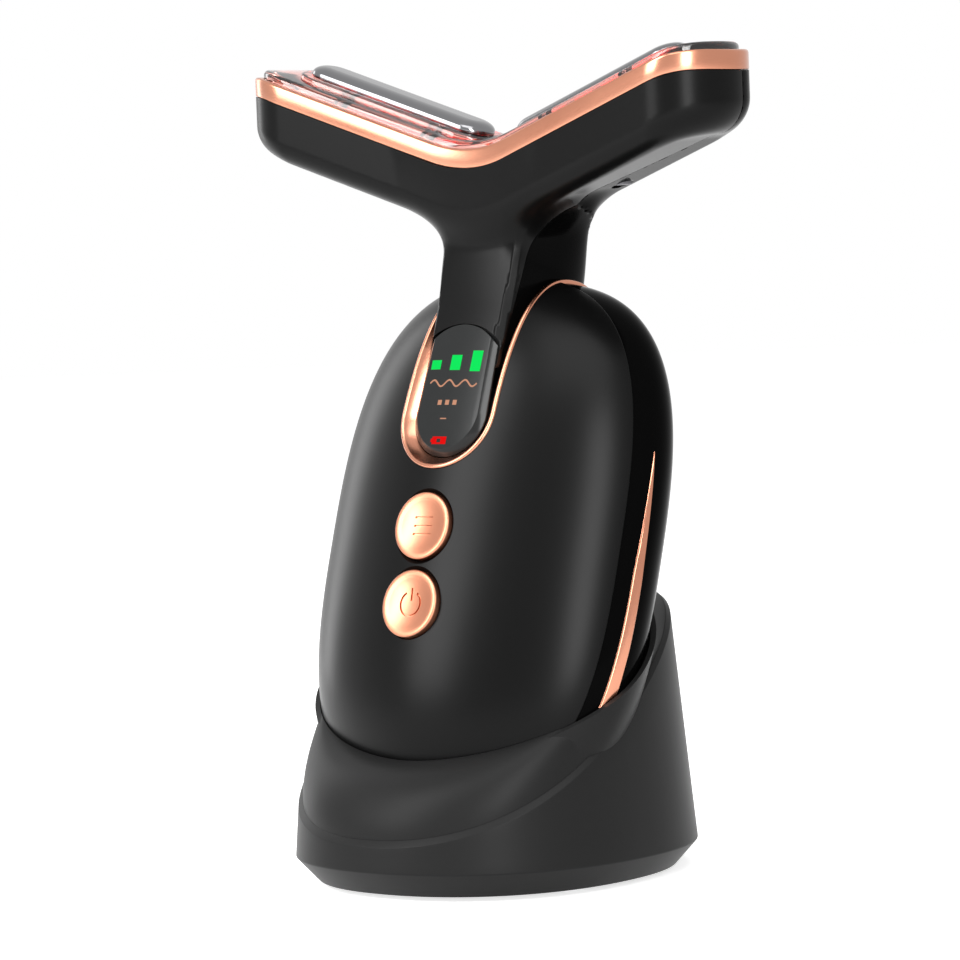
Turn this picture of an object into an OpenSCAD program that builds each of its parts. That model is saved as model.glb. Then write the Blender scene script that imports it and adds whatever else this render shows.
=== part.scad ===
// Facial toning device with a V-shaped head, standing in its charging dock.
// Millimetres, +Z up. The origin is on the table under the middle of the dock, and the front faces -Y.
// The handset is drawn upright in its own frame (tip of the body at the origin, front towards -Y)
// and leans back into the dock with one transform.

/* [Body] */
// Full width of the egg-shaped body
body_w = 66.4; // [60:1:74]
// Depth of the body in front of its axis
body_front = 18.6; // [17:0.2:21]
// Depth of the body behind its axis
body_rear = 19.6; // [17:0.2:22]
// Height of the widest line above the bottom of the body
body_low_h = 45; // [42:1:50]
// Height of the dome above the widest line
body_high_h = 47.2; // [44:0.2:50]
// Roundness of a level section (2 is an ellipse)
section_power = 1.8; // [1.7:0.05:2.1]
// Roundness of the lower half seen from the front
low_power = 2.8; // [2.4:0.1:3.2]
// Roundness of the upper half seen from the front
high_power = 2.9; // [2.5:0.1:3.2]
// Wall of the moulded shells
shell_wall = 2.2; // [1.8:0.1:2.6]
// How far the joint between the shells lies in front of the axis
parting_front = 5.7; // [4:0.1:7]
// Step of the rear shell below the edge of the front shell
shell_step = 0.3; // [0.2:0.05:0.6]
// Shadow gap between two fixed mouldings
seam_gap = 0.1; // [0.05:0.05:0.2]

/* [Head] */
// Full length of the head over both arms
head_len = 100; // [92:1:108]
// Depth of the head from front to back
head_depth = 21.6; // [20:0.2:24]
// Height of the black part of an arm
arm_h = 10.4; // [9.6:0.2:12]
// Rise of each arm from the level
arm_rise = 19; // [15:0.5:24]
// Radius of the round at the bottom of the V
v_round = 24; // [16:1:30]
// Forward sweep of the arms, per millimetre of length
arm_sweep = 0.07; // [0:0.01:0.1]
// Height of the bottom of the V above the bottom of the body
head_z = 108.9; // [106:0.5:113]
// Distance of the middle of the head in front of the body axis
head_front = 11.9; // [10:0.2:13]
// Forward tilt of the head against the body
head_tilt = 17.5; // [14:0.5:20]
// Wall of the head covers
head_wall = 1.8; // [1.5:0.1:2.2]
// Height of the metal band round the top of the head
band_h = 3.3; // [2.6:0.1:4]
// Thickness of the band
band_t = 1.4; // [1.1:0.1:1.8]
// Height of the clear window above the band
window_rise = 1.3; // [1:0.1:2]
// Length of an electrode bar
electrode_len = 38; // [30:1:38]
// Width of an electrode bar
electrode_w = 8; // [7:0.5:9]
// Height of an electrode bar above the window
electrode_rise = 1.9; // [1.4:0.1:2.6]
// Height of the clear pad under an electrode
pad_rise = 0.8; // [0.6:0.1:1.2]

/* [Neck] */
// Width of the neck between the shoulders and the head
neck_w = 17; // [16.4:0.2:18]
// Radius of the fillets between the neck and the arms
neck_fillet = 10; // [7:0.5:11]
// Distance of the neck's back behind the body axis
neck_rear = 8; // [6:0.2:8.4]
// Width of the tongue that carries the display
tongue_w = 15; // [14:0.2:15.4]
// Depth of the tongue's face below the body at its lower end
tongue_set = 0.7; // [0.4:0.1:1.2]
// Slope of the tongue's face against the body axis
tongue_slope = 3.4; // [2.5:0.1:4]
// Length of the display window
display_len = 22.6; // [20:0.2:24]
// Thickness of the display window
display_t = 1.4; // [1.2:0.1:1.8]
// Width of the neck's bevelled front edge
neck_bevel = 1.1; // [0.8:0.1:1.4]

/* [Trim loop] */
// Outer width of the metal loop round the tongue
loop_w = 20; // [19.4:0.2:21]
// Height of the loop's lowest point above the bottom of the body
loop_bottom = 55.6; // [54:0.2:58]
// Width of the loop's bevel round the display
bevel_w = 2.3; // [2:0.1:2.4]
// Depth of the loop's bevel
bevel_d = 1.7; // [1.4:0.1:2]
// Height that the loop stands above the shell
loop_proud = 0.3; // [0.2:0.05:0.5]

/* [Buttons] */
// Diameter of a button
button_d = 11.3; // [10:0.1:12]
// Distance between the two buttons
button_pitch = 13; // [12.6:0.1:14]
// Height of the lower button above the bottom of the body
power_z = 33; // [30:0.5:35]
// Height of a button's rim above the shell
button_proud = 0.7; // [0.7:0.1:1.2]
// Travel of a button
button_travel = 0.6; // [0.4:0.05:0.7]
// Running gap round a button
button_gap = 0.1; // [0.06:0.01:0.15]
// Depth of the dish in a button
button_dish = 0.6; // [0.4:0.1:0.8]

/* [Side strips] */
// Height of a strip's lower end above the bottom of the body
strip_low = 20; // [18:1:24]
// Height of a strip's pointed upper end
strip_high = 63.5; // [60:0.5:68]
// Width of a strip at its lower end
strip_w = 2.4; // [2:0.1:3.4]
// Distance of the strips in front of the body axis
strip_front = 1.9; // [1.6:0.1:2.6]

/* [Inside the handset] */
// Thickness of the circuit boards
board_t = 1.2; // [1:0.1:1.6]
// Width of the main board
board_w = 32; // [28:1:34]
// Height of the main board
board_h = 44; // [40:1:46]
// Side of a push switch
switch_a = 6; // [5:0.5:6.5]
// Height of a push switch's case
switch_h = 3.1; // [2.8:0.1:3.6]
// Diameter of a push switch's plunger
plunger_d = 3; // [2.4:0.1:3.4]
// Width of the battery cell
cell_w = 30; // [26:1:32]
// Height of the battery cell
cell_h = 40; // [36:1:42]
// Thickness of the battery cell
cell_t = 8; // [6:0.5:8.5]
// Diameter of the vibration motor's case
motor_d = 7; // [6:0.5:7.5]
// Length of the motor's case
motor_len = 13; // [11:0.5:14]
// Diameter of the motor's shaft
motor_shaft_d = 1; // [0.8:0.1:1.2]
// Diameter of a charging contact
contact_d = 4; // [3.6:0.1:4.4]
// Distance between the charging contacts
contact_pitch = 12; // [11:0.5:13]

/* [Dock] */
// Full width of the dock above its lower bevel
dock_w = 63.2; // [61:0.2:68]
// Full depth of the dock above its lower bevel
dock_d = 67.4; // [66:0.2:72]
// Roundness of the dock's outline
dock_power = 2.2; // [2.1:0.05:2.6]
// Draft of the dock's wall
dock_draft = 4.8; // [4:0.1:5.4]
// Width of the bevel round the dock's foot
dock_bevel_w = 3.7; // [3:0.1:4.2]
// Height of the bevel round the dock's foot
dock_bevel_h = 4.1; // [3.6:0.1:5]
// Height of the cut wall at the front
cut_front = 9.6; // [9.2:0.1:12]
// Height of the cut wall at the back
cut_rear = 47; // [44:0.5:50]
// Wall of the dock's mouldings
dock_wall = 2; // [1.8:0.1:2.4]
// Height of the cup's rim at the body's front
rim_front = 21.4; // [20:0.2:23]
// Slope of the cup's rim
rim_slope = 32.5; // [30:0.5:35]
// Lean of the seated handset
lean = 17.5; // [15:0.5:19]
// Gap between the handset and the cup
cup_gap = 0.3; // [0.25:0.05:0.5]
// Height of the body's bottom over the table
seat_z = 10; // [9.6:0.1:12]
// Distance of the body's bottom in front of the dock's middle
seat_front = 11.9; // [11:0.1:13]
// Height of the rubber feet below the base
foot_h = 0.8; // [0.6:0.1:1.2]
// Diameter of a rubber foot
foot_d = 9.4; // [8:0.2:11]
// Diameter of a spring contact pin
pin_d = 2; // [1.6:0.1:2.2]
// Travel of a spring contact pin
pin_travel = 1.2; // [0.8:0.1:1.4]
// Running gap round a spring contact pin
pin_gap = 0.06; // [0.04:0.01:0.1]
// Width of the charging socket's mouth
socket_w = 8.4; // [8.3:0.1:8.6]
// Height of the charging socket's mouth
socket_h = 2.6; // [2.5:0.1:2.8]
// Depth of the charging socket
socket_len = 7; // [6.5:0.1:8]

/* [Hidden] */

satin_black = "#232323";
gloss_black = "#0e0e0e";
rose_gold = "#d98f6c";
steel = "#c4c6c8";
dock_grey = "#333333";

half_w = body_w / 2;
body_h = body_low_h + body_high_h;
mode_z = power_z + button_pitch;

// ---- Curves of the body -------------------------------------------------------------------

// Size of the level section at height z, as a share of the widest one; t is taken off all round
function share(z, t = 0) =
    let (high = z > body_low_h,
         part = high ? (z - body_low_h) / (body_high_h - t) : (body_low_h - z) / (body_low_h - t),
         power = high ? high_power : low_power)
    part >= 1 ? 0 : pow(1 - pow(part, power), 1 / power);

// Signed power, for superellipse outlines
function spow(a, p) = sign(a) * pow(abs(a), p);

// One level section of the body with n points
function body_ring(z, t, n) =
    let (s = share(z, t))
    [for (i = [0 : n - 1]) let (a = 360 * i / n)
        [(half_w - t) * s * spow(cos(a), 2 / section_power),
         (sin(a) < 0 ? body_front - t : body_rear - t) * s * spow(sin(a), 2 / section_power), z]];

// Heights of the sections, closer together towards both ends
function body_heights(t, k) =
    [for (i = [0 : k]) let (a = -87 + 174 * i / k)
        body_low_h + (a < 0 ? body_low_h - t : body_high_h - t) * sin(a)];

// Depth of the front surface at a point of the front view
function front_y(x, z, t = 0) =
    let (s = share(z, t), u = abs(x) / ((half_w - t) * max(s, 0.001)))
    u >= 1 ? 0 : -(body_front - t) * s * pow(1 - pow(u, section_power), 1 / section_power);

// Height of the dome over a point of the plan
function dome_z(x, y, t = 0) =
    let (dy = abs(y) / ((y < 0 ? body_front : body_rear) - t),
         s = pow(pow(abs(x) / (half_w - t), section_power) + pow(dy, section_power), 1 / section_power))
    body_low_h + (body_high_h - t) * pow(max(0, 1 - pow(s, high_power)), 1 / high_power);

// ---- Surfaces through rings of points -----------------------------------------------------

// Closed solid through rings with the same number of points, flat at both ends
module skin(rings) {
    n = len(rings[0]);
    m = len(rings);
    sides = [for (k = [0 : m - 2], i = [0 : n - 1]) let (j = (i + 1) % n)
        each [[k * n + i, (k + 1) * n + j, k * n + j],
              [k * n + i, (k + 1) * n + i, (k + 1) * n + j]]];
    low = [[for (i = [0 : n - 1]) i]];
    high = [[for (i = [n - 1 : -1 : 0]) (m - 1) * n + i]];
    polyhedron([for (r = rings) each r], concat(sides, low, high));
}

// Closed solid through rings that come back to the first one
module skin_loop(rings) {
    n = len(rings[0]);
    m = len(rings);
    polyhedron([for (r = rings) each r],
        [for (k = [0 : m - 1], i = [0 : n - 1]) let (j = (i + 1) % n, q = (k + 1) % m)
            each [[k * n + i, k * n + j, q * n + j], [k * n + i, q * n + j, q * n + i]]]);
}

// Sections and points of the body's surface
egg_n = 48;
egg_k = 22;
// Solid body of the handset, t smaller all round
module body_solid(t, n, k) {
    skin([for (z = body_heights(t, k)) body_ring(z, t, n)]);
}

// Joins its children into one surface mesh
module as_mesh() {
    resize([0, 0, 0]) children();
}

// Big block on one side of a level of y, for cutting the shells apart
cut_size = 300;
module ahead_of(y) {
    translate([-cut_size / 2, y - cut_size, -cut_size / 2]) cube(cut_size);
}
module behind(y) {
    translate([-cut_size / 2, y, -cut_size / 2]) cube(cut_size);
}

// ---- Head ---------------------------------------------------------------------------------

end_r = head_depth / 2;
arm_x = head_len / 2 - end_r;

// Rise of the band's lower edge over the bottom of the V, with a round in the middle
v_end = v_round * sin(arm_rise);
tip_fall = 0.026;
function v_z(x) = abs(x) < v_end ? v_round - sqrt(v_round * v_round - x * x)
    : abs(x) * tan(arm_rise) - v_round * (1 / cos(arm_rise) - 1)
        - tip_fall * pow(max(0, abs(x) - arm_x - 2), 2);
// Forward shift of the arms
function sweep_y(x) = -arm_sweep / tan(arm_rise) * v_z(x);
// Half depth of the head at x, for an outline t smaller all round
function half_depth(x, t) =
    let (over = abs(x) - arm_x, r = end_r - t)
    over <= 0 ? r : over >= r ? 0.01 : sqrt(r * r - over * over);

// Stations along the head, closer together at its ends
function head_stations(t, k) =
    let (reach = arm_x + end_r - t)
    [for (i = [0 : k]) let (a = -89 + 178 * i / k) arm_x > 0 && abs(a) > 45
        ? sign(a) * (arm_x * 0.72 + (reach - arm_x * 0.72) * sin((abs(a) - 45) * 90 / 44.4))
        : arm_x * 0.72 * a / 45];

// Cross section of the head at x: flat on top, with rounded lower edges, a little higher at the back
front_round = 4;
rear_round = 4.5;
rear_drop = -0.9;
tip_round = 5.5;
function head_section(x, t, top, low, q) =
    let (d = half_depth(x, t), y0 = sweep_y(x),
         reach = arm_x + end_r - t,
         over = max(0, abs(x) - (reach - tip_round)) / tip_round,
         lift = tip_round * (1 - sqrt(max(0, 1 - over * over))),
         z1 = v_z(x) + top,
         z0 = v_z(x) - low + min(lift, low - 0.6),
         drop = rear_drop * d / end_r,
         f = min(front_round, d * 0.95, (z1 - z0) * 0.8),
         r = min(rear_round, d * 0.95, (z1 - z0) * 0.8))
    concat(
        [[x, y0 - d, z1]],
        [for (i = [0 : q]) let (a = 90 * i / q) [x, y0 - d + f * (1 - cos(a)), z0 + f * (1 - sin(a))]],
        [for (i = [q : -1 : 0]) let (a = 90 * i / q)
            [x, y0 + d - r * (1 - cos(a)), z0 - drop + r * (1 - sin(a))]],
        [[x, y0 + d, z1]]);

module head_bar(t, top, low, k, q) {
    skin([for (x = head_stations(t, k)) head_section(x, t, top, low, q)]);
}

// Moves a child drawn at the bottom of the V to its place on the handset
module at_head() {
    translate([0, -head_front, head_z]) rotate([head_tilt, 0, 0]) children();
}

// Line of the tongue's face, carried on up the neck
tongue_low = loop_bottom + (loop_w - tongue_w) / 2;
tongue_y0 = front_y(0, tongue_low) + tongue_set;
function tongue_y(z) = tongue_y0 + (z - tongue_low) * tan(tongue_slope);

// Level section of the neck: flat in front with bevelled edges, round at the back
function neck_ring(z, w, front, rear, n) =
    let (mid = front + (rear - front) * 0.4, b = neck_bevel)
    concat(
        [for (i = [0 : n]) let (a = 180 * i / n)
            [w * spow(cos(a), 0.8), mid + (rear - mid) * spow(sin(a), 0.8), z]],
        [[-w, front + b, z], [-w + b, front, z], [w - b, front, z], [w, front + b, z]]);

neck_low_z = body_h - 15.6;
neck_top_z = head_z - 3;
// Sideways growth of the neck at height z: a gentle one, then the fillet into the arms
fillet_z = head_z - 17;
function neck_growth(z) =
    let (h = max(0, min(z - fillet_z, neck_fillet * 0.97)))
    neck_fillet - sqrt(neck_fillet * neck_fillet - h * h);
function neck_side(z) =
    let (u = max(0, min(1, (z - neck_low_z) / (fillet_z - neck_low_z))))
    tongue_w / 2 + (neck_w - tongue_w) / 2 * u + neck_growth(z);
// Forward curve of the neck's front into the face of the head
neck_curve = 0.012;
function neck_front(z) = tongue_y(z) - neck_curve * pow(max(0, z - (head_z - 25)), 2);
// Forward curve of the neck's back under the head
function neck_back(z) = neck_rear - 1.25 * neck_growth(z);
module neck_solid(t, low, n, k) {
    skin([for (i = [0 : k])
        let (z = low + (neck_top_z - low) * i / k)
        neck_ring(z, neck_side(z) - t, neck_front(z) + t, neck_back(z) - t, n)]);
}

// Outline of the display tongue in its own face, t smaller at the sides and the lower end
tongue_top_r = 9;
function tongue_points(t, top) =
    let (r = tongue_w / 2)
    concat(
        [for (i = [0 : 24]) let (a = 180 + 7.5 * i) [(r - t) * cos(a), r + (r - t) * sin(a)]],
        [for (i = [0 : 12]) let (x = (r - t) * (1 - i / 6))
            [x, top - tongue_top_r + sqrt(tongue_top_r * tongue_top_r - x * x)]]);
function at_height(points, h) = [for (p = points) [p[0], p[1], h]];

// Moves a child drawn flat in the tongue's face to its place; its depth runs inwards
module at_tongue(depth = 0) {
    translate([0, tongue_y0, tongue_low]) rotate([90 - tongue_slope, 0, 0])
        translate([0, 0, -depth]) children();
}

// The parting line of the head and neck covers, seen from the side
seam_depth = 2.1;
function head_seam(v) = // a point of the head's parting line at the height v over the V
    [-head_front - sin(head_tilt) * v - cos(head_tilt), head_z + cos(head_tilt) * v - sin(head_tilt)];
module seam_profile(shift) {
    a = [tongue_y(neck_low_z - 40) + seam_depth, neck_low_z - 40];
    b = [tongue_y(head_z - 13) + seam_depth, head_z - 13];
    c = [tongue_y(head_z - 4) + seam_depth, head_z - 4];
    d = head_seam(2);
    e = head_seam(60);
    bend = [for (i = [0 : 6]) let (u = i / 6) (1 - u) * (1 - u) * b + 2 * u * (1 - u) * c + u * u * d];
    line = concat([a], bend, [e]);
    polygon(concat([for (p = line) [p[0] + shift, p[1]]], [[-150, e[1]], [-150, a[1]]]));
}
// Everything in front of the covers' parting line
module before_seam(shift) {
    rotate([90, 0, 90]) translate([0, 0, -cut_size / 2]) linear_extrude(cut_size) seam_profile(shift);
}

module head_outer() {
    at_head() head_bar(0, 0, arm_h, 30, 4);
    neck_solid(0, neck_low_z, 16, 14);
}
module head_cavity() {
    at_head() head_bar(head_wall, 3, arm_h - head_wall, 16, 2);
    neck_solid(head_wall, neck_low_z - 2, 10, 6);
}

// Point i of n on the head's plan outline, t smaller all round, raised with the V
band_n = 80;
function plan_point(i, n, t, h) =
    let (q = n / 4, side = floor(i / q), u = (i % q) / q, r = end_r - t, c = 2 * u - 1,
         a = (side == 1 ? -90 : 90) + 180 * u,
         x = side == 0 ? arm_x * spow(c, 1.4) : side == 1 ? arm_x + r * cos(a)
             : side == 2 ? -arm_x * spow(c, 1.4) : -arm_x + r * cos(a),
         y = side == 0 ? -r : side == 2 ? r : r * sin(a))
    [x, sweep_y(x) + y, v_z(x) + h];
function plan_ring(n, t, h) = [for (i = [0 : n - 1]) plan_point(i, n, t, h)];
module plan_skin(n, steps) { // solid between outlines, each given as [t, h]; its ends follow the V
    m = len(steps);
    half = n / 2;
    tip = n * 7 / 8;
    strips = [for (k = [0 : half - 1]) let (a = (tip + k) % n, b = (tip + k + 1) % n,
        c = (tip - k - 1 + n) % n, d = (tip - k + n) % n)
        k == 0 ? [a, b, c] : k == half - 1 ? [a, b, d] : [a, b, c, d]];
    sides = [for (k = [0 : m - 2], i = [0 : n - 1]) let (j = (i + 1) % n)
        each [[k * n + i, (k + 1) * n + j, k * n + j],
              [k * n + i, (k + 1) * n + i, (k + 1) * n + j]]];
    low = strips;
    high = [for (f = strips) [for (i = [len(f) - 1 : -1 : 0]) (m - 1) * n + f[i]]];
    polyhedron([for (p = steps) each plan_ring(n, p[0], p[1])], concat(sides, low, high));
}

// Frame along an arm in the middle of its electrode, raised by h over the V
arm_mid_x = arm_x * 0.56;
window_top = band_h + window_rise;
module at_arm(side, h) {
    x = side * arm_mid_x;
    at_head() translate([x, sweep_y(x), v_z(x) + h]) rotate([0, -side * arm_rise, 0])
        rotate([0, 0, -side * atan(arm_sweep * cos(arm_rise))]) children();
}
// Ring of points on a bar with round ends, t smaller all round
function bar_ring(len, w, t, h, n) =
    let (r = w / 2)
    [for (i = [0 : n - 1]) let (a = 360 * (i + 0.5) / n)
        [sign(cos(a)) * (len / 2 - r) + (r - t) * cos(a), (r - t) * sin(a), h]];

// ---- Handset mouldings --------------------------------------------------------------------

loop_r = loop_w / 2;
loop_back_y = neck_rear - loop_r + 1.5;
// Opening of the trim loop: a slot in the front view and a round-ended one in the plan
module loop_opening(grow) {
    r = loop_r + grow;
    translate([0, 0, loop_bottom + loop_r]) rotate([90, 0, 0]) linear_extrude(cut_size) {
        circle(r = r, $fn = 48);
        translate([-r, 0]) square([2 * r, body_h]);
    }
    translate([0, 0, loop_bottom + 10]) linear_extrude(body_h) {
        translate([0, loop_back_y]) circle(r = r, $fn = 48);
        translate([-r, -body_front * 0.4]) square([2 * r, body_front * 0.4 + loop_back_y]);
    }
}

button_face_y = front_y(0, power_z) - button_proud;
module at_button(z) { // axis of a button, pointing into the body, from its rim
    translate([0, button_face_y, z]) rotate([-90, 0, 0]) children();
}

boss_d = 5;
boss_x = 19;
boss_low_z = 24;
boss_high_z = 62;
frame_y = -1.5;
frame_t = 1.6;
neck_post = 5;
neck_post_top = body_h + 1;
boss_places = [[-boss_x, boss_low_z], [boss_x, boss_low_z], [-boss_x, boss_high_z], [boss_x, boss_high_z]];

// Half of the body's wall on one side of the parting line
module shell_wall_solid(t) {
    difference() {
        body_solid(t, egg_n, egg_k);
        body_solid(shell_wall, 28, 10);
    }
}

boss_base = front_y(boss_x, boss_low_z, shell_wall) - shell_wall * 0.4;
screw_d = 2;
screw_gap = 0.05;
module front_shell() {
    color(satin_black) seated() difference() {
        union() {
            as_mesh() difference() {
                intersection() {
                    shell_wall_solid(0);
                    ahead_of(-parting_front - seam_gap / 2);
                }
                loop_opening(0);
            }
            for (p = boss_places) translate([p[0], boss_base, p[1]]) rotate([-90, 0, 0])
                cylinder(d = boss_d, h = frame_y - boss_base, $fn = 32);
        }
        for (z = [power_z, mode_z])
            at_button(z) translate([0, 0, -1]) cylinder(r = button_d / 2 + button_gap, h = 8, $fn = 64);
        for (p = boss_places) translate([p[0], frame_y - 7, p[1]]) rotate([-90, 0, 0])
            cylinder(d = screw_d + 2 * screw_gap, h = 8, $fn = 24);
    }
}

module rear_shell() {
    color(gloss_black) seated() difference() {
        as_mesh() difference() {
            intersection() {
                shell_wall_solid(shell_step);
                behind(-parting_front + seam_gap / 2);
            }
            loop_opening(0);
            difference() {
                for (side = [-1, 1]) strip_blank(side, 0.05);
                body_solid(strip_t, egg_n, egg_k);
            }
        }
        for (side = [-1, 1]) translate([side * contact_pitch / 2, 0, -1])
            cylinder(d = contact_d + 2 * pin_gap, h = 6, $fn = 32);
    }
}

// Wedge in the outline of a side strip, on one side of the body
strip_t = 1.1;
module strip_blank(side, grow) {
    low_w = strip_w / 2 + grow;
    mid_w = strip_w * 0.4 + grow;
    mid = (strip_low + strip_high) / 2;
    rotate([90, 0, 90]) translate([0, 0, side > 0 ? 0 : -half_w - 2]) linear_extrude(half_w + 2)
        polygon([[-strip_front - low_w, strip_low - grow], [-strip_front + low_w, strip_low - grow + 1.5],
            [-strip_front + mid_w, mid], [-strip_front, strip_high + grow], [-strip_front - mid_w, mid]]);
}
module side_strip(side) {
    color(rose_gold) seated() as_mesh() intersection() {
        difference() {
            body_solid(0.1, egg_n, egg_k);
            body_solid(strip_t, egg_n, egg_k);
        }
        strip_blank(side, -0.05);
    }
}
module side_strip_left() { side_strip(-1); }
module side_strip_right() { side_strip(1); }

// ---- Head and neck covers -----------------------------------------------------------------

tray_depth = 3.2;
tray_inset = 0.4;
tray_len = (neck_low_z - tongue_low) / cos(tongue_slope) - 0.2;
pocket_inset = 2;
module_t = 2;
module head_front_cover() {
    color(satin_black) seated() as_mesh() difference() {
        union() {
            intersection() {
                difference() {
                    head_outer();
                    head_cavity();
                }
                before_seam(-seam_gap / 2);
            }
            at_tongue(display_t + tray_depth) intersection() {
                skin([for (h = [0, tray_depth - 0.02]) at_height(tongue_points(tray_inset, display_len), h)]);
                translate([-tongue_w, -1, -1]) cube([2 * tongue_w, tray_len + 1, tray_depth + 2]);
            }
            at_tongue(display_t + 0.6) translate([-tongue_w / 2 + 1, tray_len - 1, 0])
                cube([tongue_w - 2, display_len - tray_len + 3, 0.6]);
        }
        at_tongue(display_t) skin([for (h = [0, 3])
            at_height(tongue_points(-1, display_len + seam_gap / 2), h)]);
        at_tongue(display_t + module_t) intersection() {
            skin([for (h = [0, 3]) at_height(tongue_points(pocket_inset - 0.1, display_len), h)]);
            translate([-tongue_w, 0, -1]) cube([2 * tongue_w, tray_len - 1, 6]);
        }
    }
}

plug_d = 3.6;
plug_x = 22;
plug_y = 3.6;
module at_plug(side) {
    x = side * plug_x;
    at_head() translate([x, sweep_y(x) + plug_y, v_z(x) - arm_h - rear_drop]) rotate([0, -side * arm_rise, 0])
        children();
}
module head_rear_cover() {
    color(gloss_black) seated() difference() {
        as_mesh() difference() {
            head_outer();
            head_cavity();
            before_seam(seam_gap / 2);
        }
        for (side = [-1, 1]) at_plug(side) translate([0, 0, -1])
            cylinder(d = plug_d + 2 * screw_gap, h = 4, $fn = 32);
    }
}

module head_screw_plugs() {
    color(steel) seated() for (side = [-1, 1]) at_plug(side) translate([0, 0, -0.1])
        cylinder(d = plug_d, h = 1.6, $fn = 32);
}

// Metal band round the top of the head
module head_trim_band() {
    lift = seam_gap;
    profile = [[0, lift], [0, band_h - 0.4], [0.35, band_h], [band_t - 0.3, band_h], [band_t, band_h - 0.3],
        [band_t, lift]];
    color(rose_gold) seated() at_head()
        skin_loop([for (i = [0 : band_n - 1]) [for (p = profile) plan_point(i, band_n, p[0], p[1])]]);
}

// Clear window with a raised pad round each electrode
window_inset = band_t + 0.1;
window_low = 0.7;
window_wall = 1.5;
module light_window() {
    r = 0.9;
    color("#e8b4ac", 0.45) seated() difference() {
        as_mesh() union() {
            at_head() difference() {
                plan_skin(band_n, [[window_inset, window_low], [window_inset, window_top - r],
                    [window_inset + 0.3 * r, window_top - 0.3 * r], [window_inset + r, window_top]]);
                plan_skin(tray_n, [[window_inset + window_wall, window_low - 1],
                    [window_inset + window_wall, window_top - window_wall]]);
            }
            for (side = [-1, 1]) at_arm(side, window_top) skin([
                bar_ring(electrode_len + 3.6, electrode_w + 3.6, 0, -1, 20),
                bar_ring(electrode_len + 3.6, electrode_w + 3.6, 0, pad_rise - 0.5, 20),
                bar_ring(electrode_len + 3.6, electrode_w + 3.6, 0.5, pad_rise, 20)]);
        }
        for (side = [-1, 1]) for (u = [-1, 1]) at_arm(side, window_top)
            translate([u * electrode_len / 4, 0, -8]) cylinder(d = electrode_pin_d + 0.1, h = 10, $fn = 24);
    }
}

// Domed metal bar with two pins that run through the window
electrode_pin_d = 3;
module electrode(side) {
    base = pad_rise + 0.02;
    low = (tray_floor - window_top) * cos(arm_rise) + 1.02;
    r = electrode_w / 2;
    color(steel) seated() at_arm(side, window_top) {
        as_mesh() skin(concat([bar_ring(electrode_len, electrode_w, 0, base, 28)],
            [for (q = [0 : 6]) let (a = 15 * q)
                bar_ring(electrode_len, electrode_w, q == 6 ? r * 0.72 : r * 0.72 * (1 - cos(a)),
                    base + 0.4 + (electrode_rise - 0.4) * sin(a), 28)]));
        for (u = [-1, 1]) translate([u * electrode_len / 4, 0, low])
            cylinder(d = electrode_pin_d, h = base - low + 0.2, $fn = 24);
    }
}
module electrode_left() { electrode(-1); }
module electrode_right() { electrode(1); }

// Tray under the window, hung on the upper edge of the covers
tray_n = 48;
tray_floor = -1.6;
tray_floor_t = 1;
module light_tray() {
    color(dock_grey) seated() as_mesh() at_head() difference() {
        union() {
            plan_skin(tray_n, [[window_inset, seam_gap], [window_inset, 0.6]]);
            plan_skin(tray_n, [[head_wall + 0.9, tray_floor - tray_floor_t],
                [head_wall + 0.9, seam_gap + 0.01]]);
        }
        plan_skin(tray_n, [[head_wall + 1.8, tray_floor], [head_wall + 1.8, 2]]);
    }
}

light_board_l = 32;
light_board_w = 13.6;
module light_board(side) {
    color("#dfe3df") seated() at_arm(side, tray_floor) translate([2 * side, 0, 0.01]) linear_extrude(1)
        difference() {
            square([light_board_l, light_board_w], center = true);
            translate([light_board_l / 2 * side, 0]) circle(d = 1.6, $fn = 24);
        }
}
module light_board_left() { light_board(-1); }
module light_board_right() { light_board(1); }

diode_l = 3;
diode_w = 1.6;
diode_h = 1.2;
diodes = 5;
module light_diodes() {
    color("#d8201c") seated() for (side = [-1, 1]) at_arm(side, tray_floor)
        for (i = [0 : diodes - 1]) for (u = [-1, 1])
            translate([2 * side + (i - (diodes - 1) / 2) * 6.2 - diode_l / 2,
                u * (light_board_w / 2 - 1.3) - diode_w / 2, 1.02])
                cube([diode_l, diode_w, diode_h]);
}

// ---- Trim loop ----------------------------------------------------------------------------

// Outward direction of the body's surface
function body_normal(p) =
    let (f = p[1] < 0 ? body_front : body_rear, q = high_power, c = section_power,
         s = pow(pow(abs(p[0]) / half_w, c) + pow(abs(p[1]) / f, c), 1 / c), k = pow(s, q - c),
         n = [k * sign(p[0]) * pow(abs(p[0]), c - 1) / pow(half_w, c),
              k * sign(p[1]) * pow(abs(p[1]), c - 1) / pow(f, c),
              pow(max(0, p[2] - body_low_h), q - 1) / pow(body_high_h, q)])
    n / norm(n);

loop_turn_z = loop_bottom + loop_r;
loop_over_z = 84;
loop_over_y = front_y(loop_r, loop_over_z);
loop_up = 12;
loop_across = 8;
loop_half = 24;
// Stations of the loop: [kind, value, side], up the right side, round the back and down the left side
function loop_stations() = concat(
    [for (i = [0 : loop_half - 1]) [0, 180 + 180 * i / loop_half, 0]],
    [for (i = [0 : loop_up - 1]) [1, loop_turn_z + (loop_over_z - loop_turn_z) * i / loop_up, 1]],
    [for (i = [0 : loop_across - 1]) [2, loop_over_y + (loop_back_y - loop_over_y) * i / loop_across, 1]],
    [for (i = [0 : loop_half]) [3, 180 * i / loop_half, 0]],
    [for (i = [1 : loop_across]) [2, loop_back_y + (loop_over_y - loop_back_y) * i / loop_across, -1]],
    [for (i = [1 : loop_up - 1]) [1, loop_over_z + (loop_turn_z - loop_over_z) * i / loop_up, -1]]);
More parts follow.
